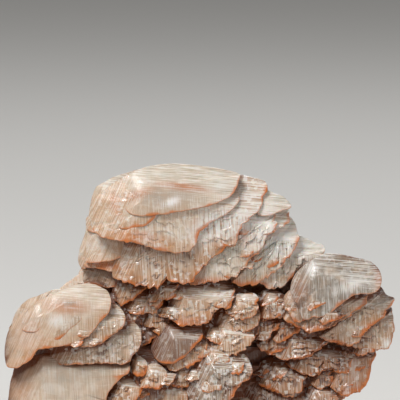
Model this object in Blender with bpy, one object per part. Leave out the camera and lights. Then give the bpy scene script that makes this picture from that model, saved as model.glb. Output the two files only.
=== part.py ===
"""Calcite crystal cluster: a mound of overlapping, nearly parallel lens crystals, cut off flat below.

Every crystal is a plate with a low three-faced front, a thin bevelled rim and an underside that tapers
back into the mound. The plates of the front are drawn one by one. Those of the flanks stand behind them
in layers, along the outline, and those of the back are laid in rows over the mound, facing back. All of
them and the mound are joined in one solid.

Lengths are in metres. The plates are drawn on a sheet whose x runs right and whose y runs down, in sheet
units. The sheet stands upright and leans back a little; `out` is its normal, towards the viewer, in
millimetres in front of the middle of the specimen.
"""

import math

import bmesh
import bpy
import numpy as np
from mathutils import Vector

NAME = "calcite_cluster"
MM = 0.001

# Driving dimensions of the specimen.
WIDTH = 0.110             # across the whole cluster
LEAN = math.radians(8.0)  # how far the growth sheet leans back from upright
SHEET_WIDTH = 389.5       # the same width in sheet units
UNIT = WIDTH / SHEET_WIDTH
SHEET_BASE = (200.0, 460.0)  # the sheet point that stands on the middle of the base

# The three faces of a lens crystal, as slopes of `out` along the sheet's right and up directions.
FACE_SLOPES = {"upper": (-0.10, -0.45), "left": (0.45, -0.15), "lower": (-0.08, -0.04)}

ROOT_DROP = 15.0          # depth behind the apex of the point that a plate tapers to, in mm

# Front crystals: name, out at the apex (mm), apex (sheet), turn of the three faces (degrees), tilt added
# to their slopes, outline.
CROWN = [
    ("crown_lens", 30.5, (142, 192), -3, (-0.08, 0), [
        (124, 186), (131, 172), (141, 166.5), (152, 163.5), (165, 161.8), (180, 161.5), (200, 163.5),
        (220, 166.3), (239, 171.5), (238.5, 180), (236.5, 187), (232, 193), (224, 198.3), (214, 202.3),
        (203, 205.2), (190, 208), (175, 210.5), (160, 212.5), (143, 214), (130, 211), (123, 200)]),
    ("crown_window", 30.15, (132, 199), -3, (0, 0), [
        (117.5, 217), (119, 223.5), (123, 226.8), (129, 227), (136, 225.3), (145, 224), (154, 217),
        (158, 207), (152, 199), (140, 196), (128, 199), (119, 207)]),
    ("crown_front", 29.6, (140, 196), -3, (-0.09, 0), [
        (92, 224), (92.5, 210), (95, 196), (104, 188), (115, 180), (127, 173), (140, 168), (170, 166),
        (210, 170), (232, 180), (240, 196), (232, 208), (218, 217), (204, 226), (199, 233),
        (197.5, 240), (194.5, 245), (189, 249), (180, 250.5), (168, 250), (158, 247.5), (149, 244.7),
        (138, 241.5), (125, 239.5), (112, 237.5), (103, 235.5), (97, 231)]),
    ("crown_shoulder", 22.0, (110, 200), 0, (0, 0), [
        (87, 227), (89, 213), (90, 205), (92, 195), (95, 187), (97, 184), (102, 181), (113, 175),
        (128, 170), (141, 167.3), (150, 176), (140, 195), (120, 215), (100, 230)]),
    ("crown_main", 26.6, (150, 205), -3, (0, 0), [
        (113, 250), (112.5, 262), (113, 275), (119, 278), (127, 280.5), (137, 282.5), (146, 284.3),
        (152, 285.5), (158, 284.5), (162.5, 280.5), (167, 276.5), (172, 279), (180, 281.3), (192, 281),
        (197, 273), (203, 266), (209, 260), (215, 254.5), (220.5, 250.5), (225, 244.7), (230, 245),
        (235, 242.8), (237.7, 238), (239, 231), (243, 224), (248, 219), (254, 213.5), (259.5, 207.5),
        (263, 201), (264.5, 194), (267.5, 187), (266, 179.3), (261, 176.8), (250, 174), (236, 171),
        (215, 172), (190, 190), (150, 215), (120, 230)]),
    ("crown_left", 24.5, (118, 232), 0, (0, 0), [
        (88, 214), (86, 227), (86, 240), (86.5, 250), (86, 259.5), (95, 260.5), (105, 259.5),
        (114, 258), (125, 250), (125, 225), (108, 212)]),
    ("crown_wedge", 23.0, (118, 240), 0, (0, 0), [
        (84, 250), (85, 263.5), (95, 266), (105, 268), (114, 269.5), (122, 262), (118, 245),
        (100, 240)]),
    ("crown_sliver", 19.0, (100, 235), 0, (0, 0), [
        (88, 213), (86, 227), (83, 237), (80, 245), (78.5, 252), (78, 258), (80, 264), (84, 267),
        (90, 262), (94, 245), (94, 228)]),
    ("crown_foot", 20.5, (118, 262), 0, (0, 0), [
        (82, 262), (82.5, 270), (84, 281), (95, 284.5), (108, 286), (118, 282), (122, 265),
        (105, 255)]),
]
STEPS = [
    ("step_cap", 24.2, (230, 214), -6, (0, 0), [
        (268, 188), (275, 191), (282, 193.5), (287, 197.5), (291, 203), (289.5, 206.5), (283, 208.5),
        (276, 211), (268, 214), (258, 212), (250, 200), (258, 190)]),
    ("step_upper", 23.4, (222, 217), -6, (0, 0), [
        (276, 211), (274.5, 216), (273, 221), (270, 230), (266.5, 237), (262.5, 246.5), (255, 253),
        (250, 258), (246.5, 263.5), (240, 268.5), (236, 273), (232, 276.3), (222, 278.5),
        (208, 280.5), (195, 282.8), (186, 278), (190, 262), (205, 240), (225, 215), (245, 198),
        (268, 192)]),
    ("step_notch", 22.0, (250, 226), -6, (0, 0), [
        (289, 207), (289.5, 213), (289, 220), (285, 224), (280, 227), (273, 228.5), (265, 225),
        (263, 212), (276, 203)]),
    ("step_middle", 21.0, (244, 233), -6, (0, 0), [
        (289, 213), (293, 217), (295.5, 222), (298, 229), (299.7, 235), (298.5, 240), (296.5, 246),
        (293, 251.5), (287.5, 257.5), (281, 264.5), (274, 270.5), (266, 276.5), (258, 281.5),
        (248, 283.5), (238, 282.5), (231, 276), (238, 260), (252, 238), (266, 220), (279, 210)]),
    ("step_lower", 19.2, (268, 248), -6, (0, 0), [
        (299, 233), (305, 235), (310, 237), (314, 239.5), (322, 241), (325.3, 244.5), (326, 250),
        (318, 257), (308, 262), (300, 266), (295.5, 272), (290, 278.5), (283.5, 283.5), (276, 287),
        (270, 287.8), (263.5, 284.5), (257, 278), (266, 262), (280, 246), (290, 236)]),
]
RIGHT = [
    ("right_crystal", 24.5, (314, 268), -16, (0, 0), [
        (325, 251), (335, 251), (345, 252.5), (355, 255), (365, 257), (371, 259.5), (376, 263.5),
        (380, 269.5), (381.3, 277), (380, 284), (376.5, 289), (370, 291.5), (360, 291.5), (352, 293.5),
        (346, 297.5), (340, 302), (333, 308), (326, 312.5), (319, 315.2), (313, 314.5), (308, 317),
        (303, 317), (299.5, 311), (297, 303), (293, 296), (290, 286), (293, 275), (300, 266),
        (312, 257)]),
    ("right_ledge", 23.3, (318, 296), -12, (0, 0), [
        (298, 300), (299, 312), (300, 322), (303, 328), (310, 330.5), (317, 328.5), (323, 325),
        (330, 316), (326, 303), (312, 296)]),
    ("right_jag", 22.6, (296, 296), -10, (0, 0), [
        (284, 293), (283, 305), (287, 310), (291, 316), (296, 320.5), (303, 320), (310, 310),
        (305, 295), (293, 286)]),
    ("right_jag_low", 21.3, (294, 300), -10, (0, 0), [
        (280, 300), (281, 312), (285, 318.5), (291, 322.5), (299, 326), (306, 323), (312, 312),
        (300, 296)]),
    ("right_second", 22.0, (330, 296), -14, (0, 0), [
        (310, 310), (330, 300), (348, 287), (360, 284), (368, 290), (366, 300), (361, 305),
        (354, 310), (347, 315.5), (338, 320.5), (331, 325), (322, 328), (312, 322)]),
    ("right_third", 20.2, (345, 296), -14, (0, 0), [
        (352, 295), (366, 286), (381, 284), (386, 291.5), (394.5, 295.5), (394.5, 300), (391, 305.3),
        (386, 309.5), (384, 316), (378, 320.5), (370.5, 324.5), (366.5, 329), (362, 335.5),
        (356.5, 341), (347, 343), (336, 341), (326, 338.5), (318, 332), (330, 316)]),
    ("right_fourth", 18.2, (355, 312), -10, (0, 0), [
        (372, 300), (391, 304), (393.5, 311), (394.7, 320), (394.2, 328), (392, 337), (390.5, 343.5),
        (388.5, 346.5), (381, 348.3), (370, 347.5), (357, 346), (346, 344), (335, 341), (340, 325),
        (355, 308)]),
    ("right_low", 15.5, (345, 350), -6, (0, 0), [
        (335, 345), (350, 338), (376, 341), (376.5, 349), (374.5, 357), (372, 362), (371, 370),
        (369.5, 378), (366.5, 384.5), (360, 389.3), (352, 393.3), (343, 393.8), (335, 390),
        (328, 382), (326, 365)]),
]
LOWER_RIGHT = [
    ("row_shelf", 21.0, (268, 300), -4, (0, 0), [
        (252, 306), (256, 316.5), (263, 317.3), (272, 317), (283, 316), (288, 308), (290, 298),
        (278, 288), (262, 288), (253, 297)]),
    ("row_first", 20.0, (262, 318), -4, (0, 0), [
        (250, 320), (256, 330), (262, 333.5), (270, 332), (278, 327), (281, 319), (272, 312),
        (258, 313)]),
    ("row_second", 19.4, (282, 320), -4, (0, 0), [
        (270, 325), (271, 335), (276, 339.3), (285, 337.7), (293, 334), (298, 330), (301, 322),
        (292, 313), (277, 315)]),
    ("row_third", 18.7, (264, 334), -4, (0, 0), [
        (254, 335), (257, 344), (262, 348.3), (270, 348), (276, 342.5), (279, 335), (270, 327),
        (260, 328)]),
    ("row_fourth", 18.6, (290, 338), -4, (0, 0), [
        (273, 342), (274, 350), (277.5, 355.3), (283.5, 358.7), (290, 357), (297, 352.3),
        (305, 350.5), (313, 349.3), (320, 345.5), (325, 339), (322, 328), (305, 322), (285, 328)]),
    ("row_fifth", 16.8, (305, 352), -4, (0, 0), [
        (281, 350), (284, 359.5), (290, 366), (297, 371), (305, 374), (315, 374.5), (322.5, 370.3),
        (330, 368.5), (337, 370.3), (345, 371), (351, 366.5), (354, 355), (345, 345), (320, 342),
        (298, 342)]),
    ("row_chip", 15.8, (318, 374), -4, (0, 0), [
        (309, 375), (311, 382), (316, 386), (325, 385.8), (331, 381), (333, 372), (322, 365),
        (312, 367)]),
    ("row_orange", 17.0, (320, 392), -4, (0, 0), [
        (306, 388), (305, 400), (308, 414), (318, 424), (330, 424), (338, 412), (339, 398),
        (335, 388), (322, 383), (312, 383)]),
    ("row_dark", 16.8, (280, 372), -4, (0, 0), [
        (258, 362), (260, 375), (266, 386), (277, 391), (285, 394.3), (294, 394), (302, 387.5),
        (304, 376), (296, 362), (280, 355), (266, 355)]),
]
MIDDLE = [
    ("middle_first", 23.6, (128, 286), 0, (0, 0), [
        (112, 284), (113, 295), (117, 301), (122.5, 303.2), (130, 300.3), (137, 296), (144, 291),
        (148, 284), (142, 274), (125, 270), (114, 274)]),
    ("middle_second", 23.6, (160, 288), 0, (0, 0), [
        (147, 292), (146.5, 299.5), (149.5, 303.5), (155, 304), (160.5, 301), (167, 296.5),
        (173, 290.5), (178, 286.5), (180, 279), (168, 272), (154, 277)]),
    ("middle_third", 24.6, (185, 296), -2, (0, 0), [
        (172, 288), (168, 298), (169, 311), (174, 320), (182, 324), (195, 323), (209, 319.5),
        (214, 312.5), (220, 307), (226, 303), (231, 297.5), (233.5, 292), (234.5, 285), (225, 275),
        (200, 272), (182, 277)]),
    ("middle_shelf", 22.6, (135, 298), 0, (0, 0), [
        (113, 301), (119, 308), (130, 310.3), (145, 311.3), (154, 311), (162, 305), (164, 294),
        (150, 286), (130, 288), (115, 292)]),
    ("middle_chip", 21.8, (125, 306), 0, (0, 0), [
        (112, 305), (116, 317), (119.5, 322), (125, 320.5), (132, 317), (140, 312), (146, 305),
        (135, 296), (118, 297)]),
    ("middle_stack", 21.6, (155, 308), 0, (0, 0), [
        (139, 310), (140, 318), (146, 324.5), (157, 326), (167, 322), (172, 314), (166, 303),
        (150, 301)]),
    ("middle_stack_low", 22.0, (162, 320), 0, (0, 0), [
        (149, 324), (153, 330.5), (163, 333), (173, 330), (176, 320), (164, 314), (152, 316)]),
    ("middle_pale", 25.3, (175, 336), -2, (0, 0), [
        (151, 344), (153, 352), (158, 358), (165, 360.5), (173, 360.5), (179, 357.5), (185, 353.5),
        (190.5, 348.5), (196, 342.5), (201, 337), (203, 331), (198, 322), (184, 318), (168, 322),
        (156, 333)]),
    ("middle_pale_low", 24.2, (180, 340), -2, (0, 0), [
        (152, 352), (157, 359), (165, 363), (172, 369), (181, 367.3), (190, 364.3), (198, 360.5),
        (206, 352), (208, 340), (200, 328), (175, 328), (157, 340)]),
    ("middle_dark", 22.6, (232, 312), -2, (0, 0), [
        (207, 318), (209, 328), (217, 334), (226, 336), (236, 334), (246, 330), (253, 326),
        (259, 321), (261, 311), (255, 299), (240, 295), (222, 301), (211, 310)]),
    ("middle_bright", 23.6, (240, 302), -2, (0, 0), [
        (227, 306), (231, 314.5), (242, 317.5), (252, 315), (258, 307), (255, 297), (243, 290),
        (231, 294)]),
    ("middle_lower", 24.2, (225, 332), -2, (0, 0), [
        (201, 341), (205, 349), (216, 353), (229, 353.5), (240, 350.5), (247, 346), (252, 340.5),
        (254, 332), (246, 322), (228, 323), (208, 329)]),
    ("middle_big", 27.0, (215, 366), -2, (0, 0), [
        (196, 358), (188, 372), (184, 388), (186, 404), (196, 416), (212, 418), (224, 410),
        (229.5, 399), (233, 392.5), (237, 386.5), (241, 381.5), (247.5, 377.5), (252.5, 371.5),
        (252, 362), (244, 351), (226, 347), (208, 349)]),
    ("middle_small", 25.0, (140, 362), 0, (0, 0), [
        (131, 360), (131, 366), (134.5, 371.5), (140, 373), (146, 370), (148.5, 363), (146, 356.5),
        (139, 352.5), (133, 355)]),
    ("middle_round", 26.2, (153, 370), 0, (0, 0), [
        (139, 372), (141, 379.5), (147, 385), (155, 386.5), (163, 383), (168, 376), (167, 367),
        (159, 360), (148, 361)]),
    ("middle_foot", 25.4, (122, 384), 0, (0, 0), [
        (104, 388), (108, 398), (118, 405), (130, 403), (140, 395), (144, 384), (138, 373),
        (124, 370), (111, 376)]),
    ("middle_foot_right", 24.4, (166, 390), 0, (0, 0), [
        (146, 390), (149, 402), (158, 410), (172, 411), (184, 404), (188, 392), (182, 378),
        (168, 374), (154, 379)]),
    ("middle_gap", 23.4, (180, 370), 0, (0, 0), [
        (164, 366), (166, 376), (174, 384), (186, 384), (195, 376), (198, 362), (190, 354),
        (174, 356)]),
]
LEFT = [
    ("left_crystal", 30.0, (60, 305), 0, (0, 0), [
        (13, 322), (20, 313), (30, 304), (40, 297.5), (55, 290.5), (65, 286), (75, 282.5), (86, 280.5),
        (95, 281.5), (102, 284.5), (108, 288), (111.5, 295), (112.3, 302), (110.3, 309), (105.5, 315),
        (100, 320), (93, 330), (80, 338), (66, 342), (50, 345), (40, 346), (37, 350), (34, 355),
        (30, 358.3), (25, 361.3), (20, 364.5), (12, 364.7), (7.8, 362), (5.8, 356), (5.5, 347),
        (7, 336), (9.5, 328)]),
    ("left_shoulder", 24.0, (60, 310), 0, (0, 0), [
        (9.5, 328), (12, 320), (15, 312), (20, 304), (25, 299), (30, 296), (40, 292.5), (48, 289),
        (57, 286.5), (70, 290), (50, 312), (25, 330)]),
    ("left_lobe", 28.65, (47, 304), 0, (0, 0), [
        (22, 320), (23, 327), (30, 329.3), (38, 328.5), (43.5, 324), (48, 318), (52, 308), (48, 300),
        (38, 301), (28, 309)]),
    ("left_apex", 30.1, (62, 310), 0, (0, 0), [
        (42, 327), (41, 335.5), (48, 337.2), (57, 336.7), (62.5, 335), (67, 331), (73, 325),
        (82, 318), (86, 308), (76, 300), (62, 299), (50, 306), (44, 318)]),
    ("left_rough", 28.6, (90, 316), 0, (0, 0), [
        (56, 336), (64, 343), (75, 343.3), (85, 343.7), (95, 343), (104.5, 339.3), (110, 335),
        (116, 330), (123.5, 325), (126, 314), (118, 302), (100, 298), (78, 306), (60, 322)]),
    ("left_rough_low", 27.0, (85, 330), 0, (0, 0), [
        (36, 345), (38, 356), (50, 361), (70, 362), (90, 361), (110, 361), (122, 361.5),
        (130, 358.5), (134.5, 352), (139, 347), (143, 336), (138, 322), (120, 312), (90, 316),
        (60, 328), (42, 336)]),
    ("left_foot", 26.6, (45, 362), 0, (0.06, 0), [
        (17, 362), (13, 372), (10.8, 380), (9.3, 392), (8, 404), (9, 418), (18, 428), (40, 432),
        (70, 430), (95, 420), (107, 404), (107.5, 395), (111, 387.5), (116, 381), (122.5, 374),
        (130, 369.5), (128, 358), (110, 350), (70, 348), (35, 352)]),
]
# Crystals of the second layer, seen between the drawn ones.
BEHIND = [
    ("behind_left", 21.0, (118, 300), 0, (0, 0), [
        (98, 290), (96, 310), (104, 328), (118, 340), (135, 345), (152, 340), (165, 325), (172, 305),
        (165, 285), (140, 275), (115, 278)]),
    ("behind_middle", 20.6, (230, 300), -2, (0, 0), [
        (200, 290), (198, 315), (206, 335), (225, 345), (248, 340), (262, 325), (262, 305), (248, 288),
        (225, 280)]),
    ("behind_pale", 22.2, (190, 330), -2, (0, 0), [
        (146, 330), (150, 350), (160, 368), (178, 384), (200, 380), (216, 362), (220, 335), (205, 315),
        (175, 310)]),
    ("behind_foot", 23.4, (140, 360), 0, (0, 0), [
        (118, 352), (116, 375), (124, 396), (145, 408), (170, 404), (184, 385), (178, 362), (160, 345),
        (138, 342)]),
    ("behind_right", 17.6, (285, 310), -4, (0, 0), [
        (250, 310), (252, 330), (265, 350), (290, 358), (318, 350), (334, 332), (328, 312), (300, 300),
        (270, 298)]),
    ("behind_row", 13.4, (285, 345), -4, (0, 0), [
        (248, 345), (252, 368), (268, 385), (292, 390), (315, 382), (328, 362), (318, 342), (290, 335),
        (264, 335)]),
    ("behind_low", 15.5, (262, 385), -2, (0, 0), [
        (232, 385), (236, 408), (252, 424), (278, 428), (302, 416), (312, 396), (300, 380), (270, 374),
        (245, 374)]),
]
# The plates behind the crown, one behind the other, on which it rests.
SUMMIT = [
    ("summit_first", 20.0, (186, 182), -3, (0, -0.25), [
        (130, 184), (142, 173), (165, 167.5), (200, 168), (230, 172), (250, 180), (244, 198), (200, 214),
        (150, 206)]),
    ("summit_second", 12.5, (192, 186), -3, (0, -0.25), [
        (128, 192), (146, 176), (175, 169.5), (208, 170), (236, 178), (254, 192), (240, 212), (190, 222),
        (146, 214)]),
    ("summit_third", 4.0, (184, 190), -3, (0, -0.20), [
        (124, 198), (140, 180), (172, 172), (206, 173), (236, 184), (250, 202), (232, 220), (186, 228),
        (140, 220)]),
]
# The foot of the cluster, above the cut base.
FOOT = [
    ("foot_left", 27.0, (50, 415), 0, (0, 0), [
        (12, 410), (14, 435), (24, 458), (45, 474), (75, 476), (98, 458), (108, 432), (100, 405),
        (65, 392), (30, 394)]),
    ("foot_second", 24.4, (118, 408), 0, (0, 0), [
        (90, 412), (92, 436), (104, 458), (128, 466), (152, 456), (166, 434), (162, 408), (140, 394),
        (110, 394)]),
    ("foot_third", 24.2, (180, 412), -2, (0, 0), [
        (150, 418), (156, 442), (172, 462), (196, 468), (220, 458), (234, 436), (230, 410), (205, 396),
        (170, 398)]),
    ("foot_fourth", 17.5, (240, 408), -2, (0, 0), [
        (218, 420), (222, 444), (238, 462), (264, 468), (288, 456), (300, 432), (292, 408), (264, 394),
        (234, 400)]),
    ("foot_fifth", 15.0, (300, 410), -4, (0, 0), [
        (280, 420), (284, 446), (300, 464), (322, 466), (342, 448), (348, 422), (340, 402), (315, 392),
        (292, 402)]),
    ("foot_base_left", 24.0, (90, 450), 0, (0, 0), [
        (60, 455), (66, 478), (90, 492), (125, 492), (148, 476), (152, 452), (130, 436), (85, 436)]),
    ("foot_base_middle", 22.4, (190, 450), -2, (0, 0), [
        (150, 455), (158, 480), (185, 492), (225, 490), (248, 472), (250, 450), (225, 436), (175, 436)]),
    ("foot_base_right", 16.0, (285, 450), -4, (0, 0), [
        (250, 455), (256, 480), (280, 492), (315, 488), (334, 470), (338, 448), (315, 434), (270, 436)]),
]
FRONT = CROWN + STEPS + RIGHT + LOWER_RIGHT + MIDDLE + LEFT + BEHIND + SUMMIT + FOOT

# The flanks: crystals in layers along the outline of the cluster, facing front, each with its long side
# along the outline and a little inside it.
FLANK_LINE = [
    (14, 470), (12, 430), (11, 400), (12, 375), (11, 350), (10, 330), (17, 312), (29, 298), (50, 288),
    (75, 285), (88, 275), (85, 255), (89, 228), (93, 200), (103, 185), (125, 173), (150, 167), (190, 166),
    (225, 170), (254, 178), (266, 190), (284, 198), (296, 213), (301, 233), (318, 249), (345, 255),
    (369, 262), (380, 279), (391, 295), (389, 330), (374, 350), (370, 385), (350, 402), (345, 430),
    (338, 470)]
FLANK_OUTS = (14.0, 8.0, 2.0, -4.0, -10.0)  # of the layers, in mm
FLANK_STEP = 52.0           # along the outline, in sheet units
FLANK_SPREAD = (0.3, 2.4)   # furthest shift of a crystal: along the line (of a step) and out (mm)
FLANK_LONG = (22, 40)       # half length and half width of a crystal, in sheet units
FLANK_WIDE = (14, 24)
FLANK_INSIDE = (2.0, 7.0)   # how far its outer side lies inside the line, in sheet units
FLANK_SIDES = 7
FLANK_ROOT = 6.5            # its root drop, in mm

# The back: crystals in rows, facing back, on the back of the mound: sheet y, first and last x, how many.
BACK_ROWS = [
    (194, 142, 232, 3), (222, 118, 264, 3), (254, 112, 280, 4), (288, 78, 334, 5), (326, 54, 352, 5),
    (368, 50, 338, 4), (414, 50, 326, 5), (452, 54, 316, 4)]
BACK_SPREAD = (10.0, 8.0, 1.8)  # furthest shift: right and down (sheet units), out (mm)
BACK_SIZE = (29, 50)        # half length, in sheet units
BACK_SIDES = 8
BACK_OFF = 3.8              # how far a crystal's apex stands off the mound, in mm
BACK_FLAT = 0.55            # its slopes against those of the front
RULED_TILT = 0.14           # most that is added to their slopes
RULED_MARGIN = 8.0          # how far past the mound's side they may reach freely, in sheet units
RULED_SQUASH = 0.12         # how much is left of what reaches further

# The mound inside, as level sections: sheet y, left and right (sheet x), back and front (out, mm).
MOUND = [
    (170, 156, 214, -2, 12), (176, 132, 236, -6, 14), (190, 112, 258, -12, 18), (210, 104, 274, -16, 20),
    (240, 98, 288, -21, 19), (268, 96, 324, -23, 16), (290, 66, 356, -25, 15), (310, 34, 374, -26, 15),
    (340, 24, 374, -27, 15), (370, 25, 353, -27, 15), (400, 24, 337, -27, 16), (440, 27, 337, -27, 17),
    (485, 31, 333, -26, 18)]
MOUND_SIDES = 20
MOUND_POWER = 3.0         # 2 would be ellipses, more is squarer
MOUND_TURN = -0.09        # change of out along the sheet's right: the right side lies further back

FOLD_MERGE = 0.02         # an outline point this near to a fold lies on it, in mm
SEED = 7
FLAT_ANGLE = math.radians(9.0)  # faces that differ less than this become one
CUTTER_SIZE = 0.4


def growth_to_world(points):
    """Turn (right, up, out) in metres from the middle of the base into world coordinates."""
    right, up, out = np.asarray(points).T
    y = up * math.sin(LEAN) - out * math.cos(LEAN)
    z = up * math.cos(LEAN) + out * math.sin(LEAN)
    return np.column_stack((right, y, z))


def sheet_to_growth(x, y, out_mm):
    """Turn a sheet point and its out into (right, up, out) in metres."""
    return ((x - SHEET_BASE[0]) * UNIT, (SHEET_BASE[1] - y) * UNIT, out_mm * MM)


def turned_slopes(turn, tilt):
    """The slopes of the three faces, turned about the crystal's axis and tilted."""
    cos, sin = math.cos(math.radians(turn)), math.sin(math.radians(turn))
    return [(cos * sx - sin * su + tilt[0], sin * sx + cos * su + tilt[1])
            for sx, su in FACE_SLOPES.values()]


def crystal_mesh(outline, apex, slopes, drop=ROOT_DROP):
    """Closed plate in its own frame, in mm: the outline and the apex in x, y, with z outwards, 0 at the apex.

    The front is the lowest of three planes through the apex, cut from the outline along their folds. The
    underside runs from the rim to the root, a point behind the outline's middle.
    """
    outline = np.asarray(outline, float)
    bm = bmesh.new()
    bm.faces.new([bm.verts.new((x, y, 0.0)) for x, y in outline])
    for first, second in ((0, 1), (1, 2), (2, 0)):
        fold = (slopes[first][0] - slopes[second][0], slopes[first][1] - slopes[second][1], 0.0)
        geometry = bm.verts[:] + bm.edges[:] + bm.faces[:]
        bmesh.ops.bisect_plane(bm, geom=geometry, dist=FOLD_MERGE, plane_co=(*apex, 0.0), plane_no=fold)
    for vert in bm.verts:
        dx, dy = vert.co.x - apex[0], vert.co.y - apex[1]
        vert.co.z = min(sx * dx + su * dy for sx, su in slopes)
    root = bm.verts.new((*outline.mean(axis=0), -drop))
    for edge in [edge for edge in bm.edges if edge.is_boundary]:
        bm.faces.new((edge.verts[0], edge.verts[1], root))
    return bm


def mound_point(y, angle):
    """Point of the mound's side (right, up, out in metres) at a sheet height and an angle from the front."""
    heights, *limits = np.array(MOUND, float).T
    left, right, back, front = (np.interp(y, heights, limit) for limit in limits)
    sine, cosine = math.sin(angle), math.cos(angle)
    x = (left + right) / 2 + (right - left) / 2 * math.copysign(abs(sine) ** (2 / MOUND_POWER), sine)
    middle, half = (back + front) / 2, (front - back) / 2
    out = middle + half * math.copysign(abs(cosine) ** (2 / MOUND_POWER), cosine)
    out += MOUND_TURN * (x - SHEET_BASE[0]) * UNIT / MM
    return Vector(sheet_to_growth(x, y, out))


def mound_back(x, y):
    """Out of the mound's back at a sheet point, in mm."""
    heights, *limits = np.array(MOUND, float).T
    left, right, back, front = (np.interp(y, heights, limit) for limit in limits)
    share = min(abs(2 * x - left - right) / (right - left), 0.97)
    depth = (1 - share ** MOUND_POWER) ** (1 / MOUND_POWER)
    return (back + front) / 2 - (front - back) / 2 * depth + MOUND_TURN * (x - SHEET_BASE[0]) * UNIT / MM


def new_object(name, bm, collection):
    """Put a finished bmesh into a named object of a collection."""
    mesh = bpy.data.meshes.new(name)
    bm.to_mesh(mesh)
    bm.free()
    item = bpy.data.objects.new(name, mesh)
    collection.objects.link(item)
    return item


def to_world(bm, place):
    """Carry every vertex to the world through place, which gives its (right, up, out) in metres."""
    for vert in bm.verts:
        vert.co = growth_to_world([place(vert.co)])[0]
    bmesh.ops.recalc_face_normals(bm, faces=bm.faces[:])
    return bm


def crystal(spec, collection, facing=1, flat=1.0, drop=ROOT_DROP):
    """One crystal that faces the viewer (facing 1) or away (facing -1), its slopes times flat."""
    name, out, apex, turn, tilt, outline = spec
    per_mm = UNIT / MM
    ring = [(x * per_mm, -y * per_mm) for x, y in outline]
    slopes = [(flat * sx, flat * su) for sx, su in turned_slopes(turn, tilt)]
    bm = crystal_mesh(ring, (apex[0] * per_mm, -apex[1] * per_mm), slopes, drop)

    def place(co):
        return sheet_to_growth(co.x / per_mm, -co.y / per_mm, out + facing * co.z)

    return new_object(name, to_world(bm, place), collection)


def ruled_outline(x, y, long, wide, turn, sides, rng):
    """Uneven polygon of the given half sizes about a sheet point, its long side turned by turn."""
    theta = np.arange(sides) * 2 * math.pi / sides + rng.uniform(0, 1)
    waves = rng.uniform(0.82, 1.0, sides)
    p, q = long * waves * np.cos(theta), wide * waves * np.sin(theta)
    cos, sin = math.cos(turn), math.sin(turn)
    return held_in(np.column_stack((x + p * cos - q * sin, y + p * sin + q * cos)))


def held_in(ring):
    """Squash what reaches far past the mound's sides, so that the drawn crystals make the outline."""
    heights, left, right, *_ = np.array(MOUND, float).T
    inside = np.clip(ring[:, 0], np.interp(ring[:, 1], heights, left) - RULED_MARGIN,
                     np.interp(ring[:, 1], heights, right) + RULED_MARGIN)
    return np.column_stack((inside + (ring[:, 0] - inside) * RULED_SQUASH, ring[:, 1]))


def flank_specs():
    """The crystals of the flanks, in the form of the drawn ones."""
    rng = np.random.default_rng(SEED + 2)
    line = np.array(FLANK_LINE, float)
    along = np.append(0, np.cumsum(np.linalg.norm(np.diff(line, axis=0), axis=1)))
    count = int(along[-1] / FLANK_STEP)
    specs = []
    for layer, out in enumerate(FLANK_OUTS):
        for number in range(count):
            at = (number + 0.5 * (layer % 2) + 0.25 + rng.uniform(-1, 1) * FLANK_SPREAD[0]) * FLANK_STEP
            here, ahead, before = (np.array([np.interp(at + step, along, axis) for axis in line.T])
                                   for step in (0, 8, -8))
            way = (ahead - before) / np.linalg.norm(ahead - before)
            long, wide = rng.uniform(*FLANK_LONG), rng.uniform(*FLANK_WIDE)
            x, y = here + np.array((-way[1], way[0])) * (wide + rng.uniform(*FLANK_INSIDE))
            outline = ruled_outline(x, y, long, wide, math.atan2(way[1], way[0]), FLANK_SIDES, rng)
            apex = (x + rng.uniform(-6, 6), y - rng.uniform(0, 8))
            tilt = tuple(rng.uniform(-RULED_TILT, RULED_TILT, 2))
            off = out + rng.uniform(-1, 1) * FLANK_SPREAD[1] + MOUND_TURN * (x - SHEET_BASE[0]) * UNIT / MM
            specs.append((f"flank_{layer}_{number}", off, apex, rng.uniform(-12, 10), tilt, outline.tolist()))
    return specs


def back_specs():
    """The crystals of the back, in the form of the drawn ones."""
    rng = np.random.default_rng(SEED + 3)
    specs = []
    for row, (y0, first, last, count) in enumerate(BACK_ROWS):
        for number, x0 in enumerate(np.linspace(first, last, count)):
            x = x0 + rng.uniform(-1, 1) * BACK_SPREAD[0]
            y = y0 + rng.uniform(-1, 1) * BACK_SPREAD[1]
            half = rng.uniform(*BACK_SIZE)
            outline = ruled_outline(x, y, half, half * rng.uniform(0.6, 0.85), rng.uniform(-0.5, 0.5),
                                    BACK_SIDES, rng)
            outline[:, 1] = np.maximum(outline[:, 1], y - 0.9 * (y - 160))
            tilt = tuple(rng.uniform(-RULED_TILT, RULED_TILT, 2))
            apex = (x + rng.uniform(-0.3, 0.3) * half, y - rng.uniform(0, 0.4) * half)
            off = mound_back(x, y) - BACK_OFF - rng.uniform(-1, 1) * BACK_SPREAD[2]
            specs.append((f"back_{row}_{number}", off, apex, rng.uniform(-20, 20), tilt, outline.tolist()))
    return specs


def mound(collection):
    """The solid inside the crystals, lofted through its level sections."""
    bm = bmesh.new()
    angles = [2 * math.pi * side / MOUND_SIDES for side in range(MOUND_SIDES)]
    loops = [[bm.verts.new(mound_point(section[0], angle)) for angle in angles] for section in MOUND]
    for upper, lower in zip(loops, loops[1:]):
        for side in range(MOUND_SIDES):
            following = (side + 1) % MOUND_SIDES
            bm.faces.new((upper[side], upper[following], lower[following], lower[side]))
    bm.faces.new(loops[0])
    bm.faces.new(loops[-1])
    bmesh.ops.triangulate(bm, faces=bm.faces[:])
    return new_object(NAME, to_world(bm, lambda co: co), collection)


def base_cutter(collection):
    """The block below the plane on which the cluster stands."""
    bm = bmesh.new()
    bmesh.ops.create_cube(bm, size=CUTTER_SIZE)
    bmesh.ops.translate(bm, verts=bm.verts[:], vec=(0, 0, -CUTTER_SIZE / 2))
    return new_object("base_cutter", bm, collection)


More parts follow.
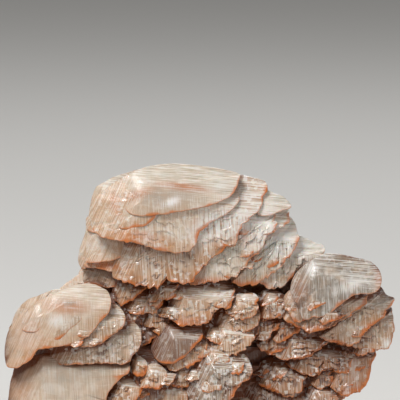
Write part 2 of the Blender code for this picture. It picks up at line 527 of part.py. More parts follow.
def joined(body, collection, cutter):
    """The mound joined with all its crystals and cut off flat, as a plain mesh with its origin centred."""
    union = body.modifiers.new("crystals", "BOOLEAN")
    union.operation = "UNION"
    union.operand_type = "COLLECTION"
    union.collection = collection
    cut = body.modifiers.new("base", "BOOLEAN")
    cut.operation = "DIFFERENCE"
    cut.object = cutter
    bpy.context.view_layer.update()
    depsgraph = bpy.context.evaluated_depsgraph_get()
    mesh = bpy.data.meshes.new_from_object(body.evaluated_get(depsgraph))
    body.modifiers.clear()
    body.data = mesh
    bm = bmesh.new()
    bm.from_mesh(mesh)
    keep_outer_shell(bm)
    bmesh.ops.dissolve_limit(bm, angle_limit=FLAT_ANGLE, verts=bm.verts[:], edges=bm.edges[:])
    low = Vector([min(vert.co[axis] for vert in bm.verts) for axis in range(3)])
    high = Vector([max(vert.co[axis] for vert in bm.verts) for axis in range(3)])
    bmesh.ops.translate(bm, verts=bm.verts[:], vec=(-(low.x + high.x) / 2, -(low.y + high.y) / 2, -low.z))
    bmesh.ops.triangulate(bm, faces=bm.faces[:])
    bm.to_mesh(mesh)
    bm.free()


def keep_outer_shell(bm):
    """Fill the pockets sealed in between crystals: of the loose shells, only the largest stays."""
    unseen = set(bm.verts)
    shells = []
    while unseen:
        shell = set()
        front = [unseen.pop()]
        while front:
            vert = front.pop()
            shell.add(vert)
            near = {edge.other_vert(vert) for edge in vert.link_edges} & unseen
            unseen -= near
            front.extend(near)
        shells.append(shell)
    largest = max(shells, key=len)
    inner = [vert for shell in shells if shell is not largest for vert in shell]
    bmesh.ops.delete(bm, geom=inner, context="VERTS")


def calcite():
    """Cream, faintly translucent calcite."""
    material = bpy.data.materials.new("calcite")
    material.use_nodes = True
    shader = material.node_tree.nodes["Principled BSDF"]
    shader.inputs["Base Color"].default_value = (0.72, 0.56, 0.44, 1.0)
    shader.inputs["Roughness"].default_value = 0.32
    shader.inputs["Metallic"].default_value = 0.0
    shader.inputs["IOR"].default_value = 1.58
    shader.inputs["Subsurface Weight"].default_value = 0.6
    return material


def new_collection(name):
    collection = bpy.data.collections.new(name)
    bpy.context.scene.collection.children.link(collection)
    return collection


def main():
    for item in list(bpy.data.objects):
        bpy.data.objects.remove(item)
    parts = new_collection("calcite_crystal")
    crystals = new_collection("crystals")
    cutters = new_collection("cutters")

    for spec in FRONT:
        crystal(spec, crystals)
    for spec in flank_specs():
        crystal(spec, crystals, drop=FLANK_ROOT)
    for spec in back_specs():
        crystal(spec, crystals, facing=-1, flat=BACK_FLAT)
    body = mound(parts)
    joined(body, crystals, base_cutter(cutters))
    body.data.materials.append(calcite())
    for collection in (crystals, cutters):
        for item in collection.objects:
            item.hide_render = True
            item.display_type = "WIRE"


main()
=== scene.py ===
"""Calcite crystal cluster: the finished looks of a mound of overlapping, nearly parallel lens crystals.

Each crystal is a plate worked out on a polar grid: a low three-faced front with growth shingles, cleavage
facets and a rounded rim, and an underside that tapers back to a root. The plates of one part of the
cluster are grown together in one closed mesh. Lengths are in millimetres while a crystal is worked out
and in metres once it is placed. The growth frame is (right, up, out): the sheet on which the plates are
drawn, leaning back a little, with `out` as its normal.
"""

import functools
import math

import bmesh
import bpy
import numpy as np
from bpy.props import FloatProperty, FloatVectorProperty, PointerProperty
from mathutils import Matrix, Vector


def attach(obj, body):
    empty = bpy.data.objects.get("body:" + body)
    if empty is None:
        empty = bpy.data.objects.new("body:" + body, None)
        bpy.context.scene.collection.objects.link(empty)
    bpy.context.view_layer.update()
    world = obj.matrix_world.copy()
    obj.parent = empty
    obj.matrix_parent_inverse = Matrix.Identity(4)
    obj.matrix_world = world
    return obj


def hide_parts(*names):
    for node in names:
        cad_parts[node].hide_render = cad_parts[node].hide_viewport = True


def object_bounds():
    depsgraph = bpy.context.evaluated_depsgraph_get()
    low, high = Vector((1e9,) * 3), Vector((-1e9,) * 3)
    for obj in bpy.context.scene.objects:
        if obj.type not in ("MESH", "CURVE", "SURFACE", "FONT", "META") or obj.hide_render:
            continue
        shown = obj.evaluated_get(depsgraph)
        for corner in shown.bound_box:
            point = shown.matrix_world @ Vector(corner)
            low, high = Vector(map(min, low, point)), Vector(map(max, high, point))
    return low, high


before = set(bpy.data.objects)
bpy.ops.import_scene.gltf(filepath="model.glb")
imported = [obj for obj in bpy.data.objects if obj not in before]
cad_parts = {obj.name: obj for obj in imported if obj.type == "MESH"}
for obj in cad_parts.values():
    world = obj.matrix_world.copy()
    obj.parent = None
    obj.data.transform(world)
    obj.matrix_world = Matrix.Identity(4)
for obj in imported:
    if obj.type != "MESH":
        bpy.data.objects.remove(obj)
NODE = "calcite_cluster"
CAD_BOX = [list(corner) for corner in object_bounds()]

bl_info = {
    "name": "Calcite crystal cluster",
    "version": (1, 0, 0),
    "blender": (4, 5, 0),
    "location": "View3D > Sidebar > Calcite",
    "description": "Grows the crystals of a calcite cluster over its packed solid and sets up a plain stage",
    "category": "Add Mesh",
}

MM = 0.001

# Driving dimensions, the same as those of the solid.
WIDTH = 0.110
LEAN = math.radians(8.0)
SHEET_WIDTH = 389.5
VIEW_WIDTH = 400              # sheet units across the front view
UNIT = WIDTH / SHEET_WIDTH
PER_MM = UNIT / MM            # millimetres in one sheet unit
SHEET_BASE = (200.0, 460.0)
FACE_SLOPES = {"upper": (-0.10, -0.45), "left": (0.45, -0.15), "lower": (-0.08, -0.04)}
ROOT_DROP = 15.0
SEED = 7

# The drawn crystals: name, out at the apex (mm), apex (sheet), turn of the three faces (degrees), tilt
# added to their slopes, outline (x and y in turn, sheet).
CROWN = [
    ("crown_lens", 30.5, (142, 192), -3, (-0.08, 0), [
        124, 186, 131, 172, 141, 166.5, 152, 163.5, 165, 161.8, 180, 161.5, 200, 163.5, 220, 166.3,
        239, 171.5, 238.5, 180, 236.5, 187, 232, 193, 224, 198.3, 214, 202.3, 203, 205.2, 190, 208,
        175, 210.5, 160, 212.5, 143, 214, 130, 211, 123, 200]),
    ("crown_window", 30.15, (132, 199), -3, (0, 0), [
        117.5, 217, 119, 223.5, 123, 226.8, 129, 227, 136, 225.3, 145, 224, 154, 217, 158, 207, 152, 199,
        140, 196, 128, 199, 119, 207]),
    ("crown_front", 29.6, (140, 196), -3, (-0.09, 0), [
        92, 224, 92.5, 210, 95, 196, 104, 188, 115, 180, 127, 173, 140, 168, 170, 166, 210, 170, 232, 180,
        240, 196, 232, 208, 218, 217, 204, 226, 199, 233, 197.5, 240, 194.5, 245, 189, 249, 180, 250.5,
        168, 250, 158, 247.5, 149, 244.7, 138, 241.5, 125, 239.5, 112, 237.5, 103, 235.5, 97, 231]),
    ("crown_shoulder", 22.0, (110, 200), 0, (0, 0), [
        87, 227, 89, 213, 90, 205, 92, 195, 95, 187, 97, 184, 102, 181, 113, 175, 128, 170, 141, 167.3,
        150, 176, 140, 195, 120, 215, 100, 230]),
    ("crown_main", 26.6, (150, 205), -3, (0, 0), [
        113, 250, 112.5, 262, 113, 275, 119, 278, 127, 280.5, 137, 282.5, 146, 284.3, 152, 285.5,
        158, 284.5, 162.5, 280.5, 167, 276.5, 172, 279, 180, 281.3, 192, 281, 197, 273, 203, 266, 209, 260,
        215, 254.5, 220.5, 250.5, 225, 244.7, 230, 245, 235, 242.8, 237.7, 238, 239, 231, 243, 224,
        248, 219, 254, 213.5, 259.5, 207.5, 263, 201, 264.5, 194, 267.5, 187, 266, 179.3, 261, 176.8,
        250, 174, 236, 171, 215, 172, 190, 190, 150, 215, 120, 230]),
    ("crown_left", 24.5, (118, 232), 0, (0, 0), [
        88, 214, 86, 227, 86, 240, 86.5, 250, 86, 259.5, 95, 260.5, 105, 259.5, 114, 258, 125, 250,
        125, 225, 108, 212]),
    ("crown_wedge", 23.0, (118, 240), 0, (0, 0), [
        84, 250, 85, 263.5, 95, 266, 105, 268, 114, 269.5, 122, 262, 118, 245, 100, 240]),
    ("crown_sliver", 19.0, (100, 235), 0, (0, 0), [
        88, 213, 86, 227, 83, 237, 80, 245, 78.5, 252, 78, 258, 80, 264, 84, 267, 90, 262, 94, 245, 94, 228]),
    ("crown_foot", 20.5, (118, 262), 0, (0, 0), [
        82, 262, 82.5, 270, 84, 281, 95, 284.5, 108, 286, 118, 282, 122, 265, 105, 255])]
STEPS = [
    ("step_cap", 24.2, (230, 214), -6, (0, 0), [
        268, 188, 275, 191, 282, 193.5, 287, 197.5, 291, 203, 289.5, 206.5, 283, 208.5, 276, 211, 268, 214,
        258, 212, 250, 200, 258, 190]),
    ("step_upper", 23.4, (222, 217), -6, (0, 0), [
        276, 211, 274.5, 216, 273, 221, 270, 230, 266.5, 237, 262.5, 246.5, 255, 253, 250, 258,
        246.5, 263.5, 240, 268.5, 236, 273, 232, 276.3, 222, 278.5, 208, 280.5, 195, 282.8, 186, 278,
        190, 262, 205, 240, 225, 215, 245, 198, 268, 192]),
    ("step_notch", 22.0, (250, 226), -6, (0, 0), [
        289, 207, 289.5, 213, 289, 220, 285, 224, 280, 227, 273, 228.5, 265, 225, 263, 212, 276, 203]),
    ("step_middle", 21.0, (244, 233), -6, (0, 0), [
        289, 213, 293, 217, 295.5, 222, 298, 229, 299.7, 235, 298.5, 240, 296.5, 246, 293, 251.5,
        287.5, 257.5, 281, 264.5, 274, 270.5, 266, 276.5, 258, 281.5, 248, 283.5, 238, 282.5, 231, 276,
        238, 260, 252, 238, 266, 220, 279, 210]),
    ("step_lower", 19.2, (268, 248), -6, (0, 0), [
        299, 233, 305, 235, 310, 237, 314, 239.5, 322, 241, 325.3, 244.5, 326, 250, 318, 257, 308, 262,
        300, 266, 295.5, 272, 290, 278.5, 283.5, 283.5, 276, 287, 270, 287.8, 263.5, 284.5, 257, 278,
        266, 262, 280, 246, 290, 236])]
RIGHT = [
    ("right_crystal", 24.5, (314, 268), -16, (0, 0), [
        325, 251, 335, 251, 345, 252.5, 355, 255, 365, 257, 371, 259.5, 376, 263.5, 380, 269.5, 381.3, 277,
        380, 284, 376.5, 289, 370, 291.5, 360, 291.5, 352, 293.5, 346, 297.5, 340, 302, 333, 308,
        326, 312.5, 319, 315.2, 313, 314.5, 308, 317, 303, 317, 299.5, 311, 297, 303, 293, 296, 290, 286,
        293, 275, 300, 266, 312, 257]),
    ("right_ledge", 23.3, (318, 296), -12, (0, 0), [
        298, 300, 299, 312, 300, 322, 303, 328, 310, 330.5, 317, 328.5, 323, 325, 330, 316, 326, 303,
        312, 296]),
    ("right_jag", 22.6, (296, 296), -10, (0, 0), [
        284, 293, 283, 305, 287, 310, 291, 316, 296, 320.5, 303, 320, 310, 310, 305, 295, 293, 286]),
    ("right_jag_low", 21.3, (294, 300), -10, (0, 0), [
        280, 300, 281, 312, 285, 318.5, 291, 322.5, 299, 326, 306, 323, 312, 312, 300, 296]),
    ("right_second", 22.0, (330, 296), -14, (0, 0), [
        310, 310, 330, 300, 348, 287, 360, 284, 368, 290, 366, 300, 361, 305, 354, 310, 347, 315.5,
        338, 320.5, 331, 325, 322, 328, 312, 322]),
    ("right_third", 20.2, (345, 296), -14, (0, 0), [
        352, 295, 366, 286, 381, 284, 386, 291.5, 394.5, 295.5, 394.5, 300, 391, 305.3, 386, 309.5,
        384, 316, 378, 320.5, 370.5, 324.5, 366.5, 329, 362, 335.5, 356.5, 341, 347, 343, 336, 341,
        326, 338.5, 318, 332, 330, 316]),
    ("right_fourth", 18.2, (355, 312), -10, (0, 0), [
        372, 300, 391, 304, 393.5, 311, 394.7, 320, 394.2, 328, 392, 337, 390.5, 343.5, 388.5, 346.5,
        381, 348.3, 370, 347.5, 357, 346, 346, 344, 335, 341, 340, 325, 355, 308]),
    ("right_low", 15.5, (345, 350), -6, (0, 0), [
        335, 345, 350, 338, 376, 341, 376.5, 349, 374.5, 357, 372, 362, 371, 370, 369.5, 378, 366.5, 384.5,
        360, 389.3, 352, 393.3, 343, 393.8, 335, 390, 328, 382, 326, 365])]
LOWER_RIGHT = [
    ("row_shelf", 21.0, (268, 300), -4, (0, 0), [
        252, 306, 256, 316.5, 263, 317.3, 272, 317, 283, 316, 288, 308, 290, 298, 278, 288, 262, 288,
        253, 297]),
    ("row_first", 20.0, (262, 318), -4, (0, 0), [
        250, 320, 256, 330, 262, 333.5, 270, 332, 278, 327, 281, 319, 272, 312, 258, 313]),
    ("row_second", 19.4, (282, 320), -4, (0, 0), [
        270, 325, 271, 335, 276, 339.3, 285, 337.7, 293, 334, 298, 330, 301, 322, 292, 313, 277, 315]),
    ("row_third", 18.7, (264, 334), -4, (0, 0), [
        254, 335, 257, 344, 262, 348.3, 270, 348, 276, 342.5, 279, 335, 270, 327, 260, 328]),
    ("row_fourth", 18.6, (290, 338), -4, (0, 0), [
        273, 342, 274, 350, 277.5, 355.3, 283.5, 358.7, 290, 357, 297, 352.3, 305, 350.5, 313, 349.3,
        320, 345.5, 325, 339, 322, 328, 305, 322, 285, 328]),
    ("row_fifth", 16.8, (305, 352), -4, (0, 0), [
        281, 350, 284, 359.5, 290, 366, 297, 371, 305, 374, 315, 374.5, 322.5, 370.3, 330, 368.5,
        337, 370.3, 345, 371, 351, 366.5, 354, 355, 345, 345, 320, 342, 298, 342]),
    ("row_chip", 15.8, (318, 374), -4, (0, 0), [
        309, 375, 311, 382, 316, 386, 325, 385.8, 331, 381, 333, 372, 322, 365, 312, 367]),
    ("row_orange", 17.0, (320, 392), -4, (0, 0), [
        306, 388, 305, 400, 308, 414, 318, 424, 330, 424, 338, 412, 339, 398, 335, 388, 322, 383, 312, 383]),
    ("row_dark", 16.8, (280, 372), -4, (0, 0), [
        258, 362, 260, 375, 266, 386, 277, 391, 285, 394.3, 294, 394, 302, 387.5, 304, 376, 296, 362,
        280, 355, 266, 355])]
MIDDLE = [
    ("middle_first", 23.6, (128, 286), 0, (0, 0), [
        112, 284, 113, 295, 117, 301, 122.5, 303.2, 130, 300.3, 137, 296, 144, 291, 148, 284, 142, 274,
        125, 270, 114, 274]),
    ("middle_second", 23.6, (160, 288), 0, (0, 0), [
        147, 292, 146.5, 299.5, 149.5, 303.5, 155, 304, 160.5, 301, 167, 296.5, 173, 290.5, 178, 286.5,
        180, 279, 168, 272, 154, 277]),
    ("middle_third", 24.6, (185, 296), -2, (0, 0), [
        172, 288, 168, 298, 169, 311, 174, 320, 182, 324, 195, 323, 209, 319.5, 214, 312.5, 220, 307,
        226, 303, 231, 297.5, 233.5, 292, 234.5, 285, 225, 275, 200, 272, 182, 277]),
    ("middle_shelf", 22.6, (135, 298), 0, (0, 0), [
        113, 301, 119, 308, 130, 310.3, 145, 311.3, 154, 311, 162, 305, 164, 294, 150, 286, 130, 288,
        115, 292]),
    ("middle_chip", 21.8, (125, 306), 0, (0, 0), [
        112, 305, 116, 317, 119.5, 322, 125, 320.5, 132, 317, 140, 312, 146, 305, 135, 296, 118, 297]),
    ("middle_stack", 21.6, (155, 308), 0, (0, 0), [
        139, 310, 140, 318, 146, 324.5, 157, 326, 167, 322, 172, 314, 166, 303, 150, 301]),
    ("middle_stack_low", 22.0, (162, 320), 0, (0, 0), [
        149, 324, 153, 330.5, 163, 333, 173, 330, 176, 320, 164, 314, 152, 316]),
    ("middle_pale", 25.3, (175, 336), -2, (0, 0), [
        151, 344, 153, 352, 158, 358, 165, 360.5, 173, 360.5, 179, 357.5, 185, 353.5, 190.5, 348.5,
        196, 342.5, 201, 337, 203, 331, 198, 322, 184, 318, 168, 322, 156, 333]),
    ("middle_pale_low", 24.2, (180, 340), -2, (0, 0), [
        152, 352, 157, 359, 165, 363, 172, 369, 181, 367.3, 190, 364.3, 198, 360.5, 206, 352, 208, 340,
        200, 328, 175, 328, 157, 340]),
    ("middle_dark", 22.6, (232, 312), -2, (0, 0), [
        207, 318, 209, 328, 217, 334, 226, 336, 236, 334, 246, 330, 253, 326, 259, 321, 261, 311, 255, 299,
        240, 295, 222, 301, 211, 310]),
    ("middle_bright", 23.6, (240, 302), -2, (0, 0), [
        227, 306, 231, 314.5, 242, 317.5, 252, 315, 258, 307, 255, 297, 243, 290, 231, 294]),
    ("middle_lower", 24.2, (225, 332), -2, (0, 0), [
        201, 341, 205, 349, 216, 353, 229, 353.5, 240, 350.5, 247, 346, 252, 340.5, 254, 332, 246, 322,
        228, 323, 208, 329]),
    ("middle_big", 27.0, (215, 366), -2, (0, 0), [
        196, 358, 188, 372, 184, 388, 186, 404, 196, 416, 212, 418, 224, 410, 229.5, 399, 233, 392.5,
        237, 386.5, 241, 381.5, 247.5, 377.5, 252.5, 371.5, 252, 362, 244, 351, 226, 347, 208, 349]),
    ("middle_small", 25.0, (140, 362), 0, (0, 0), [
        131, 360, 131, 366, 134.5, 371.5, 140, 373, 146, 370, 148.5, 363, 146, 356.5, 139, 352.5, 133, 355]),
    ("middle_round", 26.2, (153, 370), 0, (0, 0), [
        139, 372, 141, 379.5, 147, 385, 155, 386.5, 163, 383, 168, 376, 167, 367, 159, 360, 148, 361]),
    ("middle_foot", 25.4, (122, 384), 0, (0, 0), [
        104, 388, 108, 398, 118, 405, 130, 403, 140, 395, 144, 384, 138, 373, 124, 370, 111, 376]),
    ("middle_foot_right", 24.4, (166, 390), 0, (0, 0), [
        146, 390, 149, 402, 158, 410, 172, 411, 184, 404, 188, 392, 182, 378, 168, 374, 154, 379]),
    ("middle_gap", 23.4, (180, 370), 0, (0, 0), [
        164, 366, 166, 376, 174, 384, 186, 384, 195, 376, 198, 362, 190, 354, 174, 356])]
LEFT = [
    ("left_crystal", 30.0, (60, 305), 0, (0, 0), [
        13, 322, 20, 313, 30, 304, 40, 297.5, 55, 290.5, 65, 286, 75, 282.5, 86, 280.5, 95, 281.5,
        102, 284.5, 108, 288, 111.5, 295, 112.3, 302, 110.3, 309, 105.5, 315, 100, 320, 93, 330, 80, 338,
        66, 342, 50, 345, 40, 346, 37, 350, 34, 355, 30, 358.3, 25, 361.3, 20, 364.5, 12, 364.7, 7.8, 362,
        5.8, 356, 5.5, 347, 7, 336, 9.5, 328]),
    ("left_shoulder", 24.0, (60, 310), 0, (0, 0), [
        9.5, 328, 12, 320, 15, 312, 20, 304, 25, 299, 30, 296, 40, 292.5, 48, 289, 57, 286.5, 70, 290,
        50, 312, 25, 330]),
    ("left_lobe", 28.65, (47, 304), 0, (0, 0), [
        22, 320, 23, 327, 30, 329.3, 38, 328.5, 43.5, 324, 48, 318, 52, 308, 48, 300, 38, 301, 28, 309]),
    ("left_apex", 30.1, (62, 310), 0, (0, 0), [
        42, 327, 41, 335.5, 48, 337.2, 57, 336.7, 62.5, 335, 67, 331, 73, 325, 82, 318, 86, 308, 76, 300,
        62, 299, 50, 306, 44, 318]),
    ("left_rough", 28.6, (90, 316), 0, (0, 0), [
        56, 336, 64, 343, 75, 343.3, 85, 343.7, 95, 343, 104.5, 339.3, 110, 335, 116, 330, 123.5, 325,
        126, 314, 118, 302, 100, 298, 78, 306, 60, 322]),
    ("left_rough_low", 27.0, (85, 330), 0, (0, 0), [
        36, 345, 38, 356, 50, 361, 70, 362, 90, 361, 110, 361, 122, 361.5, 130, 358.5, 134.5, 352,
        139, 347, 143, 336, 138, 322, 120, 312, 90, 316, 60, 328, 42, 336]),
    ("left_foot", 26.6, (45, 362), 0, (0.06, 0), [
        17, 362, 13, 372, 10.8, 380, 9.3, 392, 8, 404, 9, 418, 18, 428, 40, 432, 70, 430, 95, 420,
        107, 404, 107.5, 395, 111, 387.5, 116, 381, 122.5, 374, 130, 369.5, 128, 358, 110, 350, 70, 348,
        35, 352])]
# Crystals of the second layer, seen between the drawn ones.
BEHIND = [
    ("behind_left", 21.0, (118, 300), 0, (0, 0), [
        98, 290, 96, 310, 104, 328, 118, 340, 135, 345, 152, 340, 165, 325, 172, 305, 165, 285, 140, 275,
        115, 278]),
    ("behind_middle", 20.6, (230, 300), -2, (0, 0), [
        200, 290, 198, 315, 206, 335, 225, 345, 248, 340, 262, 325, 262, 305, 248, 288, 225, 280]),
    ("behind_pale", 22.2, (190, 330), -2, (0, 0), [
        146, 330, 150, 350, 160, 368, 178, 384, 200, 380, 216, 362, 220, 335, 205, 315, 175, 310]),
    ("behind_foot", 23.4, (140, 360), 0, (0, 0), [
        118, 352, 116, 375, 124, 396, 145, 408, 170, 404, 184, 385, 178, 362, 160, 345, 138, 342]),
    ("behind_right", 17.6, (285, 310), -4, (0, 0), [
        250, 310, 252, 330, 265, 350, 290, 358, 318, 350, 334, 332, 328, 312, 300, 300, 270, 298]),
    ("behind_row", 13.4, (285, 345), -4, (0, 0), [
        248, 345, 252, 368, 268, 385, 292, 390, 315, 382, 328, 362, 318, 342, 290, 335, 264, 335]),
    ("behind_low", 15.5, (262, 385), -2, (0, 0), [
        232, 385, 236, 408, 252, 424, 278, 428, 302, 416, 312, 396, 300, 380, 270, 374, 245, 374])]
# The plates behind the crown, one behind the other, on which it rests.
SUMMIT = [
    ("summit_first", 20.0, (186, 182), -3, (0, -0.25), [
        130, 184, 142, 173, 165, 167.5, 200, 168, 230, 172, 250, 180, 244, 198, 200, 214, 150, 206]),
    ("summit_second", 12.5, (192, 186), -3, (0, -0.25), [
        128, 192, 146, 176, 175, 169.5, 208, 170, 236, 178, 254, 192, 240, 212, 190, 222, 146, 214]),
    ("summit_third", 4.0, (184, 190), -3, (0, -0.2), [
        124, 198, 140, 180, 172, 172, 206, 173, 236, 184, 250, 202, 232, 220, 186, 228, 140, 220])]
# The foot of the cluster, above the cut base.
FOOT = [
    ("foot_left", 27.0, (50, 415), 0, (0, 0), [
        12, 410, 14, 435, 24, 458, 45, 474, 75, 476, 98, 458, 108, 432, 100, 405, 65, 392, 30, 394]),
    ("foot_second", 24.4, (118, 408), 0, (0, 0), [
        90, 412, 92, 436, 104, 458, 128, 466, 152, 456, 166, 434, 162, 408, 140, 394, 110, 394]),
    ("foot_third", 24.2, (180, 412), -2, (0, 0), [
        150, 418, 156, 442, 172, 462, 196, 468, 220, 458, 234, 436, 230, 410, 205, 396, 170, 398]),
    ("foot_fourth", 17.5, (240, 408), -2, (0, 0), [
        218, 420, 222, 444, 238, 462, 264, 468, 288, 456, 300, 432, 292, 408, 264, 394, 234, 400]),
    ("foot_fifth", 15.0, (300, 410), -4, (0, 0), [
        280, 420, 284, 446, 300, 464, 322, 466, 342, 448, 348, 422, 340, 402, 315, 392, 292, 402]),
    ("foot_base_left", 24.0, (90, 450), 0, (0, 0), [
        60, 455, 66, 478, 90, 492, 125, 492, 148, 476, 152, 452, 130, 436, 85, 436]),
    ("foot_base_middle", 22.4, (190, 450), -2, (0, 0), [
        150, 455, 158, 480, 185, 492, 225, 490, 248, 472, 250, 450, 225, 436, 175, 436]),
    ("foot_base_right", 16.0, (285, 450), -4, (0, 0), [
        250, 455, 256, 480, 280, 492, 315, 488, 334, 470, 338, 448, 315, 434, 270, 436])]

# The flanks: crystals in layers along the outline of the cluster, facing front, each with its long side
# along the outline and a little inside it.
FLANK_LINE = [
    (14, 470), (12, 430), (11, 400), (12, 375), (11, 350), (10, 330), (17, 312), (29, 298), (50, 288),
    (75, 285), (88, 275), (85, 255), (89, 228), (93, 200), (103, 185), (125, 173), (150, 167), (190, 166),
    (225, 170), (254, 178), (266, 190), (284, 198), (296, 213), (301, 233), (318, 249), (345, 255),
    (369, 262), (380, 279), (391, 295), (389, 330), (374, 350), (370, 385), (350, 402), (345, 430),
    (338, 470)]
FLANK_OUTS = (14.0, 8.0, 2.0, -4.0, -10.0)  # of the layers, in mm
FLANK_STEP = 52.0           # along the outline, in sheet units
FLANK_SPREAD = (0.3, 2.4)   # furthest shift of a crystal: along the line (of a step) and out (mm)
FLANK_LONG = (22, 40)       # half length and half width of a crystal, in sheet units
FLANK_WIDE = (14, 24)
FLANK_INSIDE = (2.0, 7.0)   # how far its outer side lies inside the line, in sheet units
FLANK_SIDES = 7
FLANK_ROOT = 6.5            # its root drop, in mm

# The back: crystals in rows, facing back, on the back of the mound: sheet y, first and last x, how many.
BACK_ROWS = [
    (194, 142, 232, 3), (222, 118, 264, 3), (254, 112, 280, 4), (288, 78, 334, 5), (326, 54, 352, 5),
    (368, 50, 338, 4), (414, 50, 326, 5), (452, 54, 316, 4)]
BACK_SPREAD = (10.0, 8.0, 1.8)  # furthest shift: right and down (sheet units), out (mm)
BACK_SIZE = (29, 50)        # half length, in sheet units
BACK_SIDES = 8
BACK_OFF = 3.8              # how far a crystal's apex stands off the mound, in mm
BACK_FLAT = 0.55            # its slopes against those of the front
RULED_TILT = 0.14           # most that is added to their slopes
RULED_MARGIN = 8.0          # how far past the mound's side they may reach freely, in sheet units
RULED_SQUASH = 0.12         # how much is left of what reaches further


# The mound inside, as level sections: sheet y, left and right (sheet x), back and front (out, mm).
MOUND = [
    (170, 156, 214, -2, 12), (176, 132, 236, -6, 14), (190, 112, 258, -12, 18), (210, 104, 274, -16, 20),
    (240, 98, 288, -21, 19), (268, 96, 324, -23, 16), (290, 66, 356, -25, 15), (310, 34, 374, -26, 15),
    (340, 24, 374, -27, 15), (370, 25, 353, -27, 15), (400, 24, 337, -27, 16), (440, 27, 337, -27, 17),
    (485, 31, 333, -26, 18)]
MOUND_POWER = 3.0
MOUND_TURN = -0.09
MOUND_ROWS = 100
MOUND_SIDES = 220
MOUND_RADIUS = 30             # mm round the mound for each radian
MOUND_FACET_SIZE = (4.5, 3.0)  # its broken facets, round it and down, mm
MOUND_FACETS = (2.6, 2.4, 1.5)  # how far they tilt round and down and stand off, mm
MOUND_FRONT = 0.8             # cosine within which the mound's side counts as its front
MOUND_DARK_FROM = 270.0       # sheet y below which that front darkens in the gaps between crystals

# Surface kinds: swell (mm), shingle spacing and drop (mm), facet size (mm) and tilt, ribs (mm), jag of the
# low rims (mm), roundness of the ridges (mm).
KINDS = {
    "silky": (0.10, 9.0, 0.00, 2.6, 0.03, 0.015, 0.10, 0.80),
    "clean": (0.06, 9.0, 0.00, 3.2, 0.03, 0.015, 0.10, 0.12),
    "stepped": (0.08, 3.8, 0.40, 3.8, 0.13, 0.030, 0.34, 0.12),
    "broken": (0.06, 3.4, 0.48, 4.2, 0.22, 0.030, 0.40, 0.08),
    "granular": (0.10, 2.8, 0.34, 2.4, 0.18, 0.020, 0.20, 0.20),
    "plain": (0.12, 4.4, 0.20, 3.2, 0.08, 0.030, 0.20, 0.20)}
GROUP_KINDS = {
    "crown": "stepped", "steps": "stepped", "right": "stepped", "lower_right": "broken", "middle": "broken",
    "left": "granular", "behind": "broken", "summit": "stepped", "foot": "plain", "flank": "stepped",
    "back": "stepped"}
CRYSTAL_KINDS = {
    "crown_lens": "silky", "crown_front": "plain", "crown_window": "silky", "crown_shoulder": "silky",
    "crown_left": "silky", "crown_wedge": "silky", "crown_sliver": "silky", "crown_foot": "granular",
    "left_crystal": "silky", "left_shoulder": "plain", "left_lobe": "silky", "left_apex": "silky",
    "left_foot": "silky", "right_crystal": "clean", "middle_pale": "clean", "step_cap": "silky"}
GROUPS = {
    "crown": (CROWN, 0.34), "steps": (STEPS, 0.34), "right": (RIGHT, 0.34),
    "lower_right": (LOWER_RIGHT, 0.30), "middle": (MIDDLE, 0.30), "left": (LEFT, 0.36),
    "behind": (BEHIND, 0.50), "summit": (SUMMIT, 0.60), "foot": (FOOT, 0.70)}
RULED_SPACING = 0.62          # mesh spacing of the crystals of the flanks and the back, mm
PIECES = {
    "crown_crystals": ("crown", "steps", "crown_chips"),
    "right_crystals": ("right", "lower_right", "right_chips"),
    "middle_crystals": ("middle", "behind", "middle_chips"),
    "left_crystals": ("left", "left_chips"),
    "foot_crystals": ("foot",),
    "flank_crystals": ("flank",),
    "rear_crystals": ("summit", "back", "mound")}

# Small crystals grown over the drawn ones: sheet x and y of a field's middle, its half sizes, how many,
# least and greatest half width (sheet units), kind.
CHIP_FIELDS = {
    "crown_chips": [(245, 258, 34, 14, 5, 8, 14, "stepped"), (262, 232, 20, 12, 3, 7, 12, "stepped")],
    "middle_chips": [(160, 305, 46, 18, 6, 9, 17, "broken"), (228, 318, 32, 34, 7, 9, 18, "broken"),
                     (215, 372, 32, 34, 5, 9, 16, "stepped"), (150, 370, 28, 22, 3, 8, 14, "broken")],
    "right_chips": [(290, 300, 26, 18, 6, 8, 15, "broken"), (290, 345, 42, 30, 10, 9, 17, "broken"),
                    (345, 360, 30, 20, 6, 7, 14, "broken"), (350, 322, 34, 14, 5, 7, 14, "stepped"),
                    (280, 380, 26, 14, 4, 8, 14, "broken")],
    "left_chips": [(100, 340, 34, 14, 3, 7, 12, "granular")]}
CHIP_PROUD = (0.0, 0.5)       # how far a small crystal stands off what it grows on, in mm
CHIP_RISE = (-10, 38)         # how much its right end is raised, in degrees
CHIP_TILT = (-0.22, 0.0)      # added to its upward slopes, so that the low rim stands off most
CHIP_ROOT = 4.0               # its root drop, in mm
CHIP_SIDES = 9
CHIP_SPACING = 0.34           # its mesh spacing, in mm
CHIP_RIGHT_END = 372          # none grows past this sheet x

RIM_STEPS = np.array([0.28, 0.13, 0.0])               # rings of the rounded rim, mm inside the outline
RIM_WIDTH = 0.28              # the rim is a quarter ellipse of this width and drop, in mm
RIM_DROP = 0.26
MERGE_WIDTH = 7.0             # the upper and left rims sink into what is behind them over this width ...
MERGE_DROP = 2.0              # ... by this depth, at most, or this share of the half width
MERGE_SHARE = 0.34
UNDER_STEPS = np.array([0.06, 0.16, 0.32, 0.52, 0.76])  # rings of the underside, from rim to root
UNDER_POWER = 1.4             # how it bends towards the root
LEAST_AROUND = 24             # least points round a crystal
LEAST_RINGS = 4               # and rings from its centre to its rim
CELL = 0.35                   # height map cell, mm
NO_CRYSTAL = -99.0            # height of the drawn crystals' map where there is none, mm
MAP_MARGIN = 12               # free margin of the height maps, mm
EDGE_STEPS = 24               # points along each side of an outline in coarse_reach
FAR_OFF = 9.0                 # further than anything reaches, m
EMPTY = -999.0                # height of a cell that nothing reaches
